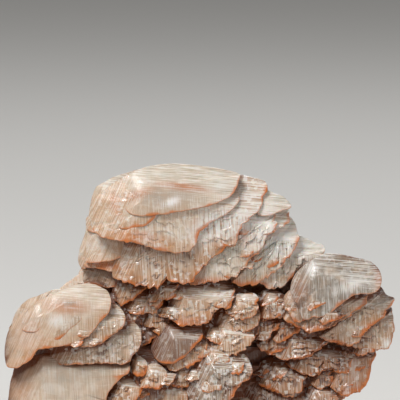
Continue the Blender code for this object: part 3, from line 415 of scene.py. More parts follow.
CUTTER = 0.4                  # side of the cube that cuts the base flat, m
LEAST_VOLUME = 1e-10          # m3; a closed surface with less, or less than none, is taken away
RECESS_SCALES = (("near", 0.9), ("far", 3.2))  # blur of the two depths, mm
SPANS = {"inset": 8, "near": 4, "far": 12}     # mm that each of these marks covers when stored
FIRST_SEED = 100              # each crystal's seed is SEED_STEP above the one before
SEED_STEP = 13
FIELD_SEED_STEP = 5000        # and the first of each group of small crystals this much more


def growth_to_world(points):
    """Lean the growth frame back: y = up sin(lean) - out cos(lean), z = up cos(lean) + out sin(lean)."""
    right, up, out = np.moveaxis(np.asarray(points, float), -1, 0)
    y = up * math.sin(LEAN) - out * math.cos(LEAN)
    z = up * math.cos(LEAN) + out * math.sin(LEAN)
    return np.stack((right, y, z), axis=-1)


def sheet_to_growth(x, y, out_mm):
    """Sheet point and out to metres: right = (x - x0) unit, up = (y0 - y) unit, out in metres."""
    return np.stack(np.broadcast_arrays((x - SHEET_BASE[0]) * UNIT, (SHEET_BASE[1] - y) * UNIT,
                                        np.asarray(out_mm) * MM), axis=-1)


def ring_of(outline):
    """The corners of an outline as rows of x and y."""
    return np.array(outline, float).reshape(-1, 2)


def turned_slopes(turn, tilt):
    """The slopes of the three faces, turned about the crystal's axis and tilted."""
    cos, sin = math.cos(math.radians(turn)), math.sin(math.radians(turn))
    return [(cos * sx - sin * su + tilt[0], sin * sx + cos * su + tilt[1])
            for sx, su in FACE_SLOPES.values()]


def hashed(i, j, seed):
    """A number from 0 to 1 for each pair of whole numbers, by mixing their bits."""
    h = (i.astype(np.int64) * 374761393 + j.astype(np.int64) * 668265263 + int(seed) * 362437) & 0xFFFFFFFF
    h = ((h ^ (h >> 13)) * 1274126177) & 0xFFFFFFFF
    h = ((h ^ (h >> 15)) * 2246822519) & 0xFFFFFFFF
    return (h ^ (h >> 16)) / 4294967296.0


def ripple(x, y, seed):
    """Smooth noise from -1 to 1: hashed values on a unit grid, blended by 3t^2 - 2t^3 both ways."""
    i, j = np.floor(x), np.floor(y)
    a, b = x - i, y - j
    a, b = a * a * (3 - 2 * a), b * b * (3 - 2 * b)
    low = hashed(i, j, seed) * (1 - a) + hashed(i + 1, j, seed) * a
    high = hashed(i, j + 1, seed) * (1 - a) + hashed(i + 1, j + 1, seed) * a
    return 2 * (low * (1 - b) + high * b) - 1


def drift(x, y, seed, octaves=3):
    """Sum of ripples, each half as large and twice as fine as the one before."""
    return sum(ripple(x * 2 ** k, y * 2 ** k, seed + 31 * k) * 0.5 ** k for k in range(octaves))


def chips(x, y, seed):
    """Cells round grid points shifted by 0.15 to 0.85, nearest by the larger of the two differences.

    Returns the differences from the nearest point and three numbers of its own.
    """
    i, j = np.floor(x), np.floor(y)
    best = np.full(x.shape, 9.0)
    dx, dy, a, b, c = (np.zeros(x.shape) for _ in range(5))
    for di in (-1, 0, 1):
        for dj in (-1, 0, 1):
            p, q = i + di, j + dj
            u, v = x - p - 0.15 - 0.7 * hashed(p, q, seed), y - q - 0.15 - 0.7 * hashed(p, q, seed + 1)
            far = np.maximum(np.abs(u), np.abs(v))
            near = far < best
            best = np.where(near, far, best)
            dx, dy = np.where(near, u, dx), np.where(near, v, dy)
            a, b, c = (np.where(near, hashed(p, q, seed + 2 + k), old) for k, old in enumerate((a, b, c)))
    return dx, dy, a, b, c


def rounded(outline, steps=12):
    """Closed curve through the outline: (2p1 + (p2-p0)t + (2p0-5p1+4p2-p3)t^2 + (3p1-p0-3p2+p3)t^3) / 2."""
    p0, p1, p2, p3 = (np.roll(outline, k, axis=0)[:, None] for k in (1, 0, -1, -2))
    t = (np.arange(steps) / steps)[None, :, None]
    curve = 2 * p1 + (p2 - p0) * t + (2 * p0 - 5 * p1 + 4 * p2 - p3) * t ** 2
    curve = curve + (3 * p1 - p0 - 3 * p2 + p3) * t ** 3
    return curve.reshape(-1, 2) / 2


def evenly(curve, count):
    """The closed curve's points at equal steps of its length."""
    closed = np.vstack((curve, curve[:1]))
    along = np.append(0, np.cumsum(np.linalg.norm(np.diff(closed, axis=0), axis=1)))
    at = np.linspace(0, along[-1], count, endpoint=False)
    return np.column_stack([np.interp(at, along, axis) for axis in closed.T])


def cross(a, b):
    return a[..., 0] * b[..., 1] - a[..., 1] * b[..., 0]


def seeing_point(curve):
    """The point that lies furthest inside all the lines along the curve, so that it sees the whole rim."""
    step = np.roll(curve, -1, axis=0) - curve
    step /= np.linalg.norm(step, axis=1)[:, None] + 1e-12
    low, high = curve.min(axis=0), curve.max(axis=0)
    best = curve.mean(axis=0)
    reach = (high - low) / 2
    for _ in range(5):
        grid = np.linspace(-1, 1, 13)
        tried = best + np.stack(np.meshgrid(grid, grid), axis=-1).reshape(-1, 2) * reach
        inside = cross(step[None], tried[:, None] - curve[None]).min(axis=1)
        best = tried[inside.argmax()]
        reach = reach / 4
    return best


def grid_faces(rows, count):
    """Faces of rows of count points that are closed round, numbered in order, and the fans to the two
    points that follow them: the first closes the first row and the second closes the last."""
    ring = np.arange(rows * count).reshape(rows, count)
    following = np.roll(ring, -1, axis=1)
    quads = np.stack((ring[:-1], ring[1:], following[1:], following[:-1]), axis=-1).reshape(-1, 4)
    first = np.column_stack((np.full(count, ring.size), ring[0], following[0]))
    last = np.column_stack((np.full(count, ring.size + 1), following[-1], ring[-1]))
    return quads, np.concatenate((first, last))


def plate(outline, apex, slopes, kind, spacing, seed, drop_back=ROOT_DROP):
    """One closed crystal in its own frame, in mm: x, y and z outwards, 0 at the apex.

    Front: centre + s (rim point - centre) over s from 0 to 1 and the rim's length, with z the soft lowest
    of three planes through the apex, plus the surface's relief, less the rounding of the rim. Underside:
    rim point to root by q, with z falling by q^UNDER_POWER.
    """
    swell, shingle, drop, facet, tilt, rib, jag, soft = KINDS[kind]
    root = outline.mean(axis=0)
    if cross(outline, np.roll(outline, -1, axis=0)).sum() < 0:
        outline = outline[::-1]
    curve = rounded(outline)
    length = np.linalg.norm(np.roll(curve, -1, axis=0) - curve, axis=1).sum()
    count = max(LEAST_AROUND, int(length / spacing))
    rim = evenly(curve, count)
    centre = seeing_point(rim)
    ahead = np.roll(rim, -1, axis=0) - np.roll(rim, 1, axis=0)
    ahead /= np.linalg.norm(ahead, axis=1)[:, None]
    outward = np.column_stack((ahead[:, 1], -ahead[:, 0]))
    spoke = rim - centre
    height = np.maximum(cross(spoke, ahead), 0.35 * np.linalg.norm(spoke, axis=1))
    # The low right rim is the jagged one.
    low_rim = np.clip(0.25 - 0.85 * outward[:, 1] + 0.35 * outward[:, 0], 0, 1)
    teeth = drift(rim[:, 0] / 0.9, rim[:, 1] / 2.5, seed, 2) * (0.25 + low_rim) - 0.4
    notch = jag * teeth / height

    rings = max(LEAST_RINGS, int(0.8 * np.linalg.norm(spoke, axis=1).mean() / spacing))
    inner = (np.arange(1, rings + 1) / rings) ** 0.85
    s = np.vstack((inner[:, None] * (1 - 1.5 * RIM_STEPS[0] / height), 1 - RIM_STEPS[:, None] / height))
    ramp = np.clip((s - 0.5) / 0.5, 0, 1) ** 2
    xy = centre + (s * (1 + notch * ramp))[..., None] * spoke
    xy = np.concatenate((np.broadcast_to(centre, (1, count, 2)), xy))
    inset = np.concatenate((height[None], (1 - s) * height))
    x, y = xy[..., 0], xy[..., 1]

    # The three faces, and how much a point belongs to each.
    planes = np.stack([sx * (x - apex[0]) + su * (y - apex[1]) for sx, su in slopes])
    lowest = planes.min(axis=0)
    weights = np.exp(-(planes - lowest) / soft)
    z = lowest - soft * np.log(weights.sum(axis=0))
    weights /= weights.sum(axis=0)
    upper, left, lower = weights
    rough = 0.22 * upper + 0.55 * left + lower

    # Relief: the swell, the shingled ledges that follow the rim, the broken facets and the fine ribs.
    z = z + swell * drift(x / 6, y / 6, seed + 5)
    steep = x * 0.87 + y * 0.5
    along = left * drift(steep / 1.3, (y - x) / 7, seed + 9) + (1 - left) * drift(x / 1.2, y / 6, seed + 11)
    dx, dy, a, b, c = chips((x + 0.35 * y) / facet, (1.25 * y - 0.25 * x) / facet, seed + 23)
    u = inset / shingle + 0.22 * along + 0.35 * drift(x / 4, y / 3, seed + 17) + 0.9 * (c - 0.5)
    patchy = np.clip(0.7 + 0.9 * drift(x / 4, y / 4, seed + 19), 0.05, 1.2)
    u = u - np.floor(u)
    z = z + drop * rough * patchy * (0.5 - u)
    # The ledge mark: near 1 on each shingle's raised edge, where the material paints a rust glow, and near 0
    # at its foot, where it paints shadow.
    steps = np.clip(1 - u / 0.24, 0, 1) - np.clip((u - 0.62) / 0.3, 0, 1)
    steps = np.clip(2 * drop * rough * patchy, 0, 1) * steps
    z = z + facet * tilt * rough * ((a - 0.5) * dx + (b - 0.5) * dy + 0.35 * (c - 0.5))
    z = z + rib * (1 - upper) * drift(x / 0.9, y / 9, seed + 41, 1)
    # The rim is rounded off, and the upper and left rims sink.
    merging = 1 - np.clip((low_rim - 0.15) / 0.4, 0, 1)
    bevel = np.clip(1 - inset / np.minimum(MERGE_WIDTH, 0.85 * height), 0, 1)
    z = z - RIM_DROP * (1 - np.sqrt(1 - np.clip(1 - inset / RIM_WIDTH, 0, 1) ** 2))
    z = z - merging * np.minimum(MERGE_DROP, MERGE_SHARE * height) * bevel ** 1.5
    z[0] = z[0].mean()

    # The underside.
    edge = np.stack((x[-1], y[-1], z[-1]), axis=-1)
    tip = np.array((*root, -drop_back))
    q = UNDER_STEPS[:, None, None]
    under = edge + q * (tip - edge)
    under[..., 2] = edge[:, 2] + (tip[2] - edge[:, 2]) * UNDER_STEPS[:, None] ** UNDER_POWER
    front = np.stack((x, y, z), axis=-1)[1:]
    points = np.concatenate((front.reshape(-1, 3), under.reshape(-1, 3),
                             [[*centre, z[0, 0]], tip]))
    faces = grid_faces(len(front) + len(under), count)

    def laid_out(on_front, on_under, at_middle, at_end):
        return np.concatenate((np.asarray(on_front)[1:].ravel(),
                               np.broadcast_to(on_under, (len(under), count)).ravel(), [at_middle, at_end]))

    # For the material: under marks the underside near the rim, where a rust glow is painted, and below the
    # whole underside, where the painted shade of the hollows reaches.
    marks = {
        "upper": laid_out(upper, 0, upper[0, 0], 0), "left": laid_out(left, 0, left[0, 0], 0),
        "under": laid_out(0 * upper, np.clip(1 - 1.7 * UNDER_STEPS[:, None], 0, 1), 0, 0),
        "below": laid_out(0 * upper, 1, 0, 1),
        "ledge": laid_out(0.5 + 0.5 * steps, 0.5, 0.5, 0.5),
        "inset": laid_out(np.maximum(inset, 0), 0, height.mean(), 0),
        "low_rim": laid_out(np.broadcast_to(low_rim, inset.shape), low_rim, 0.5, 0.5),
    }
    return points, *faces, marks


def drawn_shell(spec, kind, spacing, seed, drop_back=ROOT_DROP, facing="front", steep=1.0):
    """One crystal that faces the viewer or away from them, as points in the growth frame (metres)."""
    name, out, apex, turn, tilt, outline = spec
    flat = ring_of(outline) * (PER_MM, -PER_MM)
    slopes = [(steep * sx, steep * su) for sx, su in turned_slopes(turn, tilt)]
    tip = (apex[0] * PER_MM, -apex[1] * PER_MM)
    points, quads, fans, marks = plate(flat, tip, slopes, kind, spacing, seed, drop_back)
    depth = points[:, 2] if facing == "front" else -points[:, 2]
    grown = sheet_to_growth(points[:, 0] / PER_MM, -points[:, 1] / PER_MM, out + depth)
    return {"name": name, "points": grown, "quads": quads, "fans": fans, "marks": marks,
            "grain": np.column_stack((points[:, :2], np.full(len(points), seed * 1.7))), "facing": facing}


def drawn_plates():
    """Each drawn crystal as a flat plate: its outline, and out at given sheet points, in mm, as the lowest
    of its three planes."""
    for specs, _ in GROUPS.values():
        for _, out, apex, turn, tilt, outline in specs:
            def lowest(x, y):
                dx, dy = (x - apex[0]) * PER_MM, (apex[1] - y) * PER_MM
                return out + np.min([sx * dx + su * dy for sx, su in turned_slopes(turn, tilt)], axis=0)

            yield ring_of(outline), lowest


@functools.lru_cache(maxsize=None)
def drawn_relief():
    """Height map of the drawn crystals in sheet units: at each point the highest of the plates whose
    outline holds it, counted by how often a ray to the left crosses the outline."""
    size = int(SHEET_BASE[1])
    top = np.full((size, VIEW_WIDTH), NO_CRYSTAL)
    for ring, lowest in drawn_plates():
        low = np.maximum(np.floor(ring.min(axis=0)).astype(int), 0)
        high = np.minimum(np.ceil(ring.max(axis=0)).astype(int), (VIEW_WIDTH, size))
        x, y = np.meshgrid(np.arange(low[0], high[0]) + 0.5, np.arange(low[1], high[1]) + 0.5)
        inside = np.zeros(x.shape, bool)
        for (ax, ay), (bx, by) in zip(ring, np.roll(ring, -1, axis=0)):
            if ay != by:
                inside ^= ((ay > y) != (by > y)) & (x < (bx - ax) * (y - ay) / (by - ay) + ax)
        part = top[low[1]:high[1], low[0]:high[0]]
        part[inside] = np.maximum(part, lowest(x, y))[inside]
    return top


def chip_shells(group, rng, seed):
    """Small crystals scattered over a group's fields: flat lenses whose low rims stand off the drawn ones."""
    top = drawn_relief()
    shells = []
    for x0, y0, wide, high, count, least, most, kind in CHIP_FIELDS[group]:
        for number in range(count):
            angle, far = rng.uniform(0, 2 * math.pi), math.sqrt(rng.uniform(0, 1))
            x, y = x0 + wide * far * math.cos(angle), y0 + high * far * math.sin(angle)
            half = rng.uniform(least, most)
            theta = np.arange(CHIP_SIDES) * 2 * math.pi / CHIP_SIDES
            waves = rng.uniform(0.78, 1.15, CHIP_SIDES)
            along = half * waves * np.cos(theta)
            across = rng.uniform(0.5, 0.75) * half * waves * np.sin(theta)
            rise = math.radians(rng.uniform(*CHIP_RISE))
            outline = np.column_stack((x + along * math.cos(rise) + across * math.sin(rise),
                                       y - along * math.sin(rise) + across * math.cos(rise)))
            proud, turn = rng.uniform(*CHIP_PROUD), rng.uniform(-14, 10)
            tilt = (rng.uniform(-0.10, 0.10), rng.uniform(*CHIP_TILT))
            here = top[int(np.clip(y, 0, len(top) - 1)), int(np.clip(x, 0, VIEW_WIDTH - 1))]
            seed += SEED_STEP
            if here > NO_CRYSTAL and x < CHIP_RIGHT_END:
                apex = (x - rng.uniform(-0.1, 0.3) * half, y + rng.uniform(-0.1, 0.25) * half)
                spec = (f"{group}_{number}", here + proud, apex, turn, tilt, outline)
                shells.append(drawn_shell(spec, kind, CHIP_SPACING, seed, CHIP_ROOT))
    return shells


def mound_limits(y):
    """Left and right (sheet x), back and front (out, mm) of the mound's section at sheet y."""
    heights, *limits = np.array(MOUND, float).T
    return [np.interp(y, heights, limit) for limit in limits]


def mound_points(y, angle):
    """The mound's side: a superellipse at each height, right = half width |sin|^(2/p), out = half depth
    |cos|^(2/p), about the section's middle, with out falling towards the right."""
    y, angle = np.broadcast_arrays(np.asarray(y, float), np.asarray(angle, float))
    left, right, back, front = mound_limits(y)
    sine, cosine = np.sin(angle), np.cos(angle)
    x = (left + right) / 2 + (right - left) / 2 * np.copysign(np.abs(sine) ** (2 / MOUND_POWER), sine)
    out = (back + front) / 2 + (front - back) / 2 * np.copysign(np.abs(cosine) ** (2 / MOUND_POWER), cosine)
    out = out + MOUND_TURN * (x - SHEET_BASE[0]) * PER_MM
    return sheet_to_growth(x, y, out)


def mound_back(x, y):
    """Out of the mound's back at a sheet point, in mm: middle - half depth (1 - |share|^p)^(1/p)."""
    left, right, back, front = mound_limits(y)
    share = min(abs(2 * x - left - right) / (right - left), 0.97)
    depth = (1 - share ** MOUND_POWER) ** (1 / MOUND_POWER)
    return (back + front) / 2 - (front - back) / 2 * depth + MOUND_TURN * (x - SHEET_BASE[0]) * PER_MM


def ruled_outline(x, y, long, wide, turn, sides, rng):
    """Uneven polygon of the given half sizes about a sheet point, its long side turned by turn."""
    theta = np.arange(sides) * 2 * math.pi / sides + rng.uniform(0, 1)
    waves = rng.uniform(0.82, 1.0, sides)
    p, q = long * waves * np.cos(theta), wide * waves * np.sin(theta)
    cos, sin = math.cos(turn), math.sin(turn)
    return held_in(np.column_stack((x + p * cos - q * sin, y + p * sin + q * cos)))


def held_in(ring):
    """Squash what reaches far past the mound's sides, so that the drawn crystals make the outline."""
    left, right, *_ = mound_limits(ring[:, 1])
    inside = np.clip(ring[:, 0], left - RULED_MARGIN, right + RULED_MARGIN)
    return np.column_stack((inside + (ring[:, 0] - inside) * RULED_SQUASH, ring[:, 1]))


def flank_specs():
    """The crystals of the flanks, in the form of the drawn ones."""
    rng = np.random.default_rng(SEED + 2)
    line = np.array(FLANK_LINE, float)
    along = np.append(0, np.cumsum(np.linalg.norm(np.diff(line, axis=0), axis=1)))
    count = int(along[-1] / FLANK_STEP)
    specs = []
    for layer, out in enumerate(FLANK_OUTS):
        for number in range(count):
            at = (number + 0.5 * (layer % 2) + 0.25 + rng.uniform(-1, 1) * FLANK_SPREAD[0]) * FLANK_STEP
            here, ahead, before = (np.array([np.interp(at + step, along, axis) for axis in line.T])
                                   for step in (0, 8, -8))
            way = (ahead - before) / np.linalg.norm(ahead - before)
            long, wide = rng.uniform(*FLANK_LONG), rng.uniform(*FLANK_WIDE)
            x, y = here + np.array((-way[1], way[0])) * (wide + rng.uniform(*FLANK_INSIDE))
            outline = ruled_outline(x, y, long, wide, math.atan2(way[1], way[0]), FLANK_SIDES, rng)
            apex = (x + rng.uniform(-6, 6), y - rng.uniform(0, 8))
            tilt = tuple(rng.uniform(-RULED_TILT, RULED_TILT, 2))
            off = out + rng.uniform(-1, 1) * FLANK_SPREAD[1] + MOUND_TURN * (x - SHEET_BASE[0]) * PER_MM
            specs.append((f"flank_{layer}_{number}", off, apex, rng.uniform(-12, 10), tilt, outline.tolist()))
    return specs


def back_specs():
    """The crystals of the back, in the form of the drawn ones."""
    rng = np.random.default_rng(SEED + 3)
    specs = []
    for row, (y0, first, last, count) in enumerate(BACK_ROWS):
        for number, x0 in enumerate(np.linspace(first, last, count)):
            x = x0 + rng.uniform(-1, 1) * BACK_SPREAD[0]
            y = y0 + rng.uniform(-1, 1) * BACK_SPREAD[1]
            half = rng.uniform(*BACK_SIZE)
            outline = ruled_outline(x, y, half, half * rng.uniform(0.6, 0.85), rng.uniform(-0.5, 0.5),
                                    BACK_SIDES, rng)
            outline[:, 1] = np.maximum(outline[:, 1], y - 0.9 * (y - 160))
            tilt = tuple(rng.uniform(-RULED_TILT, RULED_TILT, 2))
            apex = (x + rng.uniform(-0.3, 0.3) * half, y - rng.uniform(0, 0.4) * half)
            off = mound_back(x, y) - BACK_OFF - rng.uniform(-1, 1) * BACK_SPREAD[2]
            specs.append((f"back_{row}_{number}", off, apex, rng.uniform(-20, 20), tilt, outline.tolist()))
    return specs


def mound_shell():
    """The solid inside the crystals: the mound's side over height and angle, closed by two fans."""
    heights = np.array(MOUND, float)[:, 0]
    rows = np.linspace(heights[0], heights[-1], MOUND_ROWS)
    angles = np.arange(MOUND_SIDES) * 2 * math.pi / MOUND_SIDES
    grid = mound_points(rows[:, None], angles[None])
    middle = grid.mean(axis=1, keepdims=True)
    outward = (grid - middle) / np.linalg.norm(grid - middle, axis=2, keepdims=True)
    around, level = np.broadcast_arrays(angles[None] * MOUND_RADIUS + 0.3 * rows[:, None],
                                        rows[:, None] * PER_MM)
    wide, high = MOUND_FACET_SIZE
    dx, dy, a, b, c = chips(around / wide + 0.12 * level, level / high + 0.05 * around, SEED)
    ends = np.sin(np.linspace(0, math.pi, len(rows)))[:, None] ** 0.3
    turn, fall, step = MOUND_FACETS
    facets = turn * (a - 0.5) * dx + fall * (b - 1.0) * dy + step * (c - 1.0)
    grid = grid + outward * (ends * facets)[..., None] * MM
    points = np.concatenate((grid.reshape(-1, 3), [grid[0].mean(axis=0), grid[-1].mean(axis=0)]))
    quads, fans = grid_faces(MOUND_ROWS, MOUND_SIDES)
    # Painted shade: low on the mound's front, seen in the gaps between crystals, it darkens like the hollows.
    gaps = (rows[:, None] > MOUND_DARK_FROM) & (np.cos(angles) > MOUND_FRONT)
    flat = np.zeros(len(points))
    marks = {"upper": flat, "left": flat, "under": flat, "below": flat, "ledge": flat + 0.5,
             "inset": flat + 2, "low_rim": flat}
    return {"name": "mound", "points": points, "quads": quads, "fans": fans, "marks": marks,
            "facing": "front", "share": np.append(gaps, [False, False]) * 1.0,
            "grain": np.column_stack((points[:, :2] / MM, flat))}


# Which map a shell's hollows are read from: the two axes of the map, the axis of its depth and its sign.
SIDES = {"front": (0, 1, 2, 1), "back": (0, 1, 2, -1)}

# How much a group, or a crystal of its own, darkens where it lies deep, with umber stain and painted shade; 1
# where not named.
RECESS_SHARES = {
    "flank": 0.0, "back": 0.3, "middle": 0.85, "middle_chips": 0.85, "foot": 0.6, "summit": 0.0,
    "steps": 0.10, "crown": 0.45, "crown_chips": 0.5, "right": 0.7, "crown_shoulder": 0.1,
    "crown_left": 0.15, "crown_wedge": 0.2, "crown_sliver": 0.2, "left_shoulder": 0.1, "left_lobe": 0.2}

# Painted shade: the darkening of the hollows reaches the undersides of these groups fully and those of the
# others by BELOW_SHARE.
DARK_BELOW = ("middle", "lower_right", "behind", "middle_chips", "right_chips", "right")  # undersides too
BELOW_SHARE = 0.25            # share of the darkening that reaches the undersides of the other groups

# Tone of a crystal: warmth, darkness (its own brown, and painted shade where it lies deep), grey, sparkle (0
# to 1), which sets the gloss and also the painted glints and sheen.
GROUP_TONES = {
    "crown": (0.30, 0.0, 0.05, 0.35), "steps": (0.05, 0.0, 0.12, 0.35), "right": (0.60, 0.20, 0.10, 0.5),
    "lower_right": (1.0, 0.58, 0.0, 0.7), "middle": (0.85, 0.12, 0.05, 0.7),
    "left": (0.40, 0.0, 0.05, 0.3), "summit": (0.35, 0.0, 0.1, 0.3), "behind": (0.8, 0.9, 0.0, 0.5),
    "foot": (0.45, 0.15, 0.1, 0.4), "back": (0.50, 0.0, 0.05, 0.3), "flank": (0.45, 0.05, 0.10, 0.25),
    "mound": (0.6, 0.25, 0.0, 0.1), "crown_chips": (0.45, 0.10, 0.1, 0.6),
    "middle_chips": (0.80, 0.22, 0.05, 0.9),
    "right_chips": (0.95, 0.55, 0.05, 0.8), "left_chips": (0.5, 0.1, 0.1, 0.5)}
CRYSTAL_TONES = {
    "crown_lens": (0.25, 0.0, 0.30, 0.1), "crown_window": (0.35, 0.0, 0.15, 0.3),
    "crown_shoulder": (0.35, 0.0, 0.10, 0.2), "crown_front": (0.45, 0.0, 0.0, 0.5),
    "crown_main": (0.80, 0.18, 0.0, 0.7), "middle_pale": (0.75, 0.95, 0.60, 0.3),
    "right_crystal": (0.35, 0.42, 1.0, 0.35), "left_foot": (0.50, 0.05, 0.30, 0.05),
    "left_rough": (0.55, 0.05, 0.2, 0.6), "left_rough_low": (0.55, 0.10, 0.3, 0.6),
    "middle_big": (0.40, 0.60, 0.55, 0.7), "left_crystal": (0.55, 0.05, 0.15, 0.1),
    "left_apex": (0.40, 0.15, 0.40, 0.3), "left_lobe": (0.50, 0.05, 0.15, 0.3)}

# Stains and clear places of the front: sheet x and y, half sizes along and across, turn (degrees),
# rust, white, smoke. The white is partly frost and partly painted highlight where faces shine, and the
# rust lines along the low rims partly paint their glow.
STAINS = [
    (168, 194, 34, 10, -5, 0.15, 0.0, 0.55), (184, 185, 24, 4, 8, 0.70, 0.0, 0.1),
    (140, 192, 18, 5, -22, 0.45, 0.0, 0.0), (171, 200, 10, 4, -20, 0.0, 1.0, 0.0),
    (116, 202, 5, 12, -15, 0.45, 0.0, 0.0), (140, 233, 24, 6, 6, 0.50, 0.0, 0.0),
    (212, 224, 26, 15, -25, 0.0, 0.9, 0.0), (70, 304, 20, 7, 4, 0.60, 0.0, 0.2),
    (70, 300, 8, 3, 0, 0.0, 0.0, 0.6), (60, 318, 11, 6, 0, 0.0, 0.7, 0.2),
    (346, 284, 18, 6, -18, 0.0, 0.9, 0.0), (299, 291, 10, 17, -12, 0.45, 0.0, 0.6),
    (313, 268, 6, 6, 0, 0.0, 0.8, 0.0), (387, 341, 4, 5, 0, 0.0, 1.0, 0.0),
    (62, 372, 24, 12, 0, 0.0, 0.0, 0.35), (104, 263, 20, 4, 2, 0.9, 0.0, 0.0),
    (205, 279, 30, 4, -4, 0.8, 0.0, 0.0), (136, 282, 26, 3, 6, 0.6, 0.0, 0.0),
    (249, 283, 15, 4, 0, 0.8, 0.0, 0.0), (310, 326, 20, 4, -10, 0.8, 0.0, 0.0),
    (190, 319, 24, 5, -3, 0.7, 0.0, 0.0), (378, 274, 4, 14, 0, 0.7, 0.0, 0.0),
    (244, 231, 9, 11, 0, 0.5, 0.0, 0.0), (352, 390, 22, 5, -8, 0.8, 0.0, 0.0),
    (22, 390, 12, 30, 0, 0.25, 0.0, 0.0), (226, 180, 16, 6, 10, 0.0, 0.3, 0.2),
    (352, 372, 26, 26, 0, 0.50, 0.0, 0.30), (177, 341, 26, 18, 0, 0.0, 0.0, 0.5),
    (262, 222, 44, 26, 25, 0.0, 0.75, 0.0), (290, 248, 26, 12, 20, 0.0, 0.5, 0.0),
    (340, 262, 26, 7, 8, 0.0, 0.0, 0.35), (30, 330, 12, 18, 0, 0.2, 0.2, 0.0)]


def coarse_reach():
    """How far the flat plates reach, as lowest right and lowest world y, before the solid is centred."""
    reach = np.full(2, FAR_OFF)
    t = np.linspace(0, 1, EDGE_STEPS, endpoint=False)[None, :, None]
    for ring, lowest in drawn_plates():
        x, y = (ring[:, None] * (1 - t) + np.roll(ring, -1, axis=0)[:, None] * t).reshape(-1, 2).T
        world = growth_to_world(sheet_to_growth(x, y, lowest(x, y)))
        world = world[world[:, 2] > 0]
        reach = np.minimum(reach, world[:, :2].min(axis=0, initial=FAR_OFF))
    return reach


def blurred(grid, known, sigma):
    """Gaussian mean of the known cells, by Fourier transform: exp(-2 pi^2 sigma^2 f^2)."""
    fx = np.fft.fftfreq(grid.shape[0])[:, None]
    fy = np.fft.rfftfreq(grid.shape[1])[None]
    kernel = np.exp(-2 * math.pi ** 2 * (sigma / CELL) ** 2 * (fx ** 2 + fy ** 2))
    total = np.fft.irfft2(np.fft.rfft2(np.where(known, grid, 0)) * kernel, s=grid.shape)
    share = np.fft.irfft2(np.fft.rfft2(known.astype(float)) * kernel, s=grid.shape)
    return total / np.maximum(share, 1e-3)


def recesses(shells):
    """Give every shell's points their depth below the blurred surface that faces them, near and far (mm), by
    which the material paints umber stain and shade.
    """
    everything = np.concatenate([shell["points"] for shell in shells]) / MM
    low = everything.min(axis=0) - MAP_MARGIN
    size = np.ceil((everything.max(axis=0) + MAP_MARGIN - low) / CELL).astype(int)
    for side, (a, b, deep, sign) in SIDES.items():
        grid = np.full((size[a], size[b]), EMPTY)
        i, j = (((everything[:, axis] - low[axis]) / CELL).astype(int) for axis in (a, b))
        np.maximum.at(grid, (i, j), sign * everything[:, deep])
        shifts = [(di, dj) for di in (-1, 0, 1) for dj in (-1, 0, 1)]
        grid = np.max([np.roll(grid, shift, axis=(0, 1)) for shift in shifts], axis=0)
        known = grid > EMPTY / 2
        for scale, sigma in RECESS_SCALES:
            smooth = blurred(grid, known, sigma)
            for shell in shells:
                if shell["facing"] == side:
                    points = shell["points"] / MM
                    i, j = (((points[:, axis] - low[axis]) / CELL).astype(int) for axis in (a, b))
                    share = shell["share"] * np.where(shell["marks"]["below"] > 0, shell["below_share"], 1.0)
                    shell["marks"][scale] = share * (smooth[i, j] - sign * points[:, deep])


@functools.lru_cache(maxsize=None)
def grown_shells():
    """All shells of the cluster by group, in world metres, with their marks."""
    groups = {}
    seed = FIRST_SEED
    for group, (specs, spacing) in GROUPS.items():
        groups[group] = []
        for spec in specs:
            seed += SEED_STEP
            kind = CRYSTAL_KINDS.get(spec[0], GROUP_KINDS[group])
            groups[group].append(drawn_shell(spec, kind, spacing, seed))
    scattered = np.random.default_rng(SEED + 1)
    for group in CHIP_FIELDS:
        seed += FIELD_SEED_STEP
        groups[group] = chip_shells(group, scattered, seed)
    for group, specs, *rule in (("flank", flank_specs(), FLANK_ROOT, "front", 1.0),
                                ("back", back_specs(), ROOT_DROP, "back", BACK_FLAT)):
        groups[group] = []
        for spec in specs:
            seed += SEED_STEP
            groups[group].append(drawn_shell(spec, GROUP_KINDS[group], RULED_SPACING, seed, *rule))
    groups["mound"] = [mound_shell()]
    for group, shells in groups.items():
        for shell in shells:
            shell.setdefault("share", RECESS_SHARES.get(shell["name"], RECESS_SHARES.get(group, 1.0)))
            shell["below_share"] = 1.0 if group in DARK_BELOW else BELOW_SHARE
    recesses([shell for shells in groups.values() for shell in shells])
    low, high = (np.array(corner) for corner in CAD_BOX)
    shift = np.append(low[:2] - coarse_reach(), 0)
    for group, shells in groups.items():
        for shell in shells:
            right = shell["points"][:, 0] / UNIT + SHEET_BASE[0]
            up = SHEET_BASE[1] - shell["points"][:, 1] / UNIT
            stains = np.zeros((len(right), 3))
            if shell["facing"] == "front":
                for x, y, along, across, turn, *strength in STAINS:
                    cos, sin = math.cos(math.radians(turn)), math.sin(math.radians(turn))
                    p = (cos * (right - x) + sin * (up - y)) / along
                    q = (cos * (up - y) - sin * (right - x)) / across
                    stains += np.exp(-(p * p + q * q) ** 1.3)[:, None] * strength
            shell["stains"] = np.clip(stains, 0, 1)
            shell["tones"] = CRYSTAL_TONES.get(shell["name"], GROUP_TONES[group])
            # What reaches below the base is cut off later.
            shell["points"] = np.clip(growth_to_world(shell["points"]) + shift, low - (0, 0, FAR_OFF), high)
    return groups


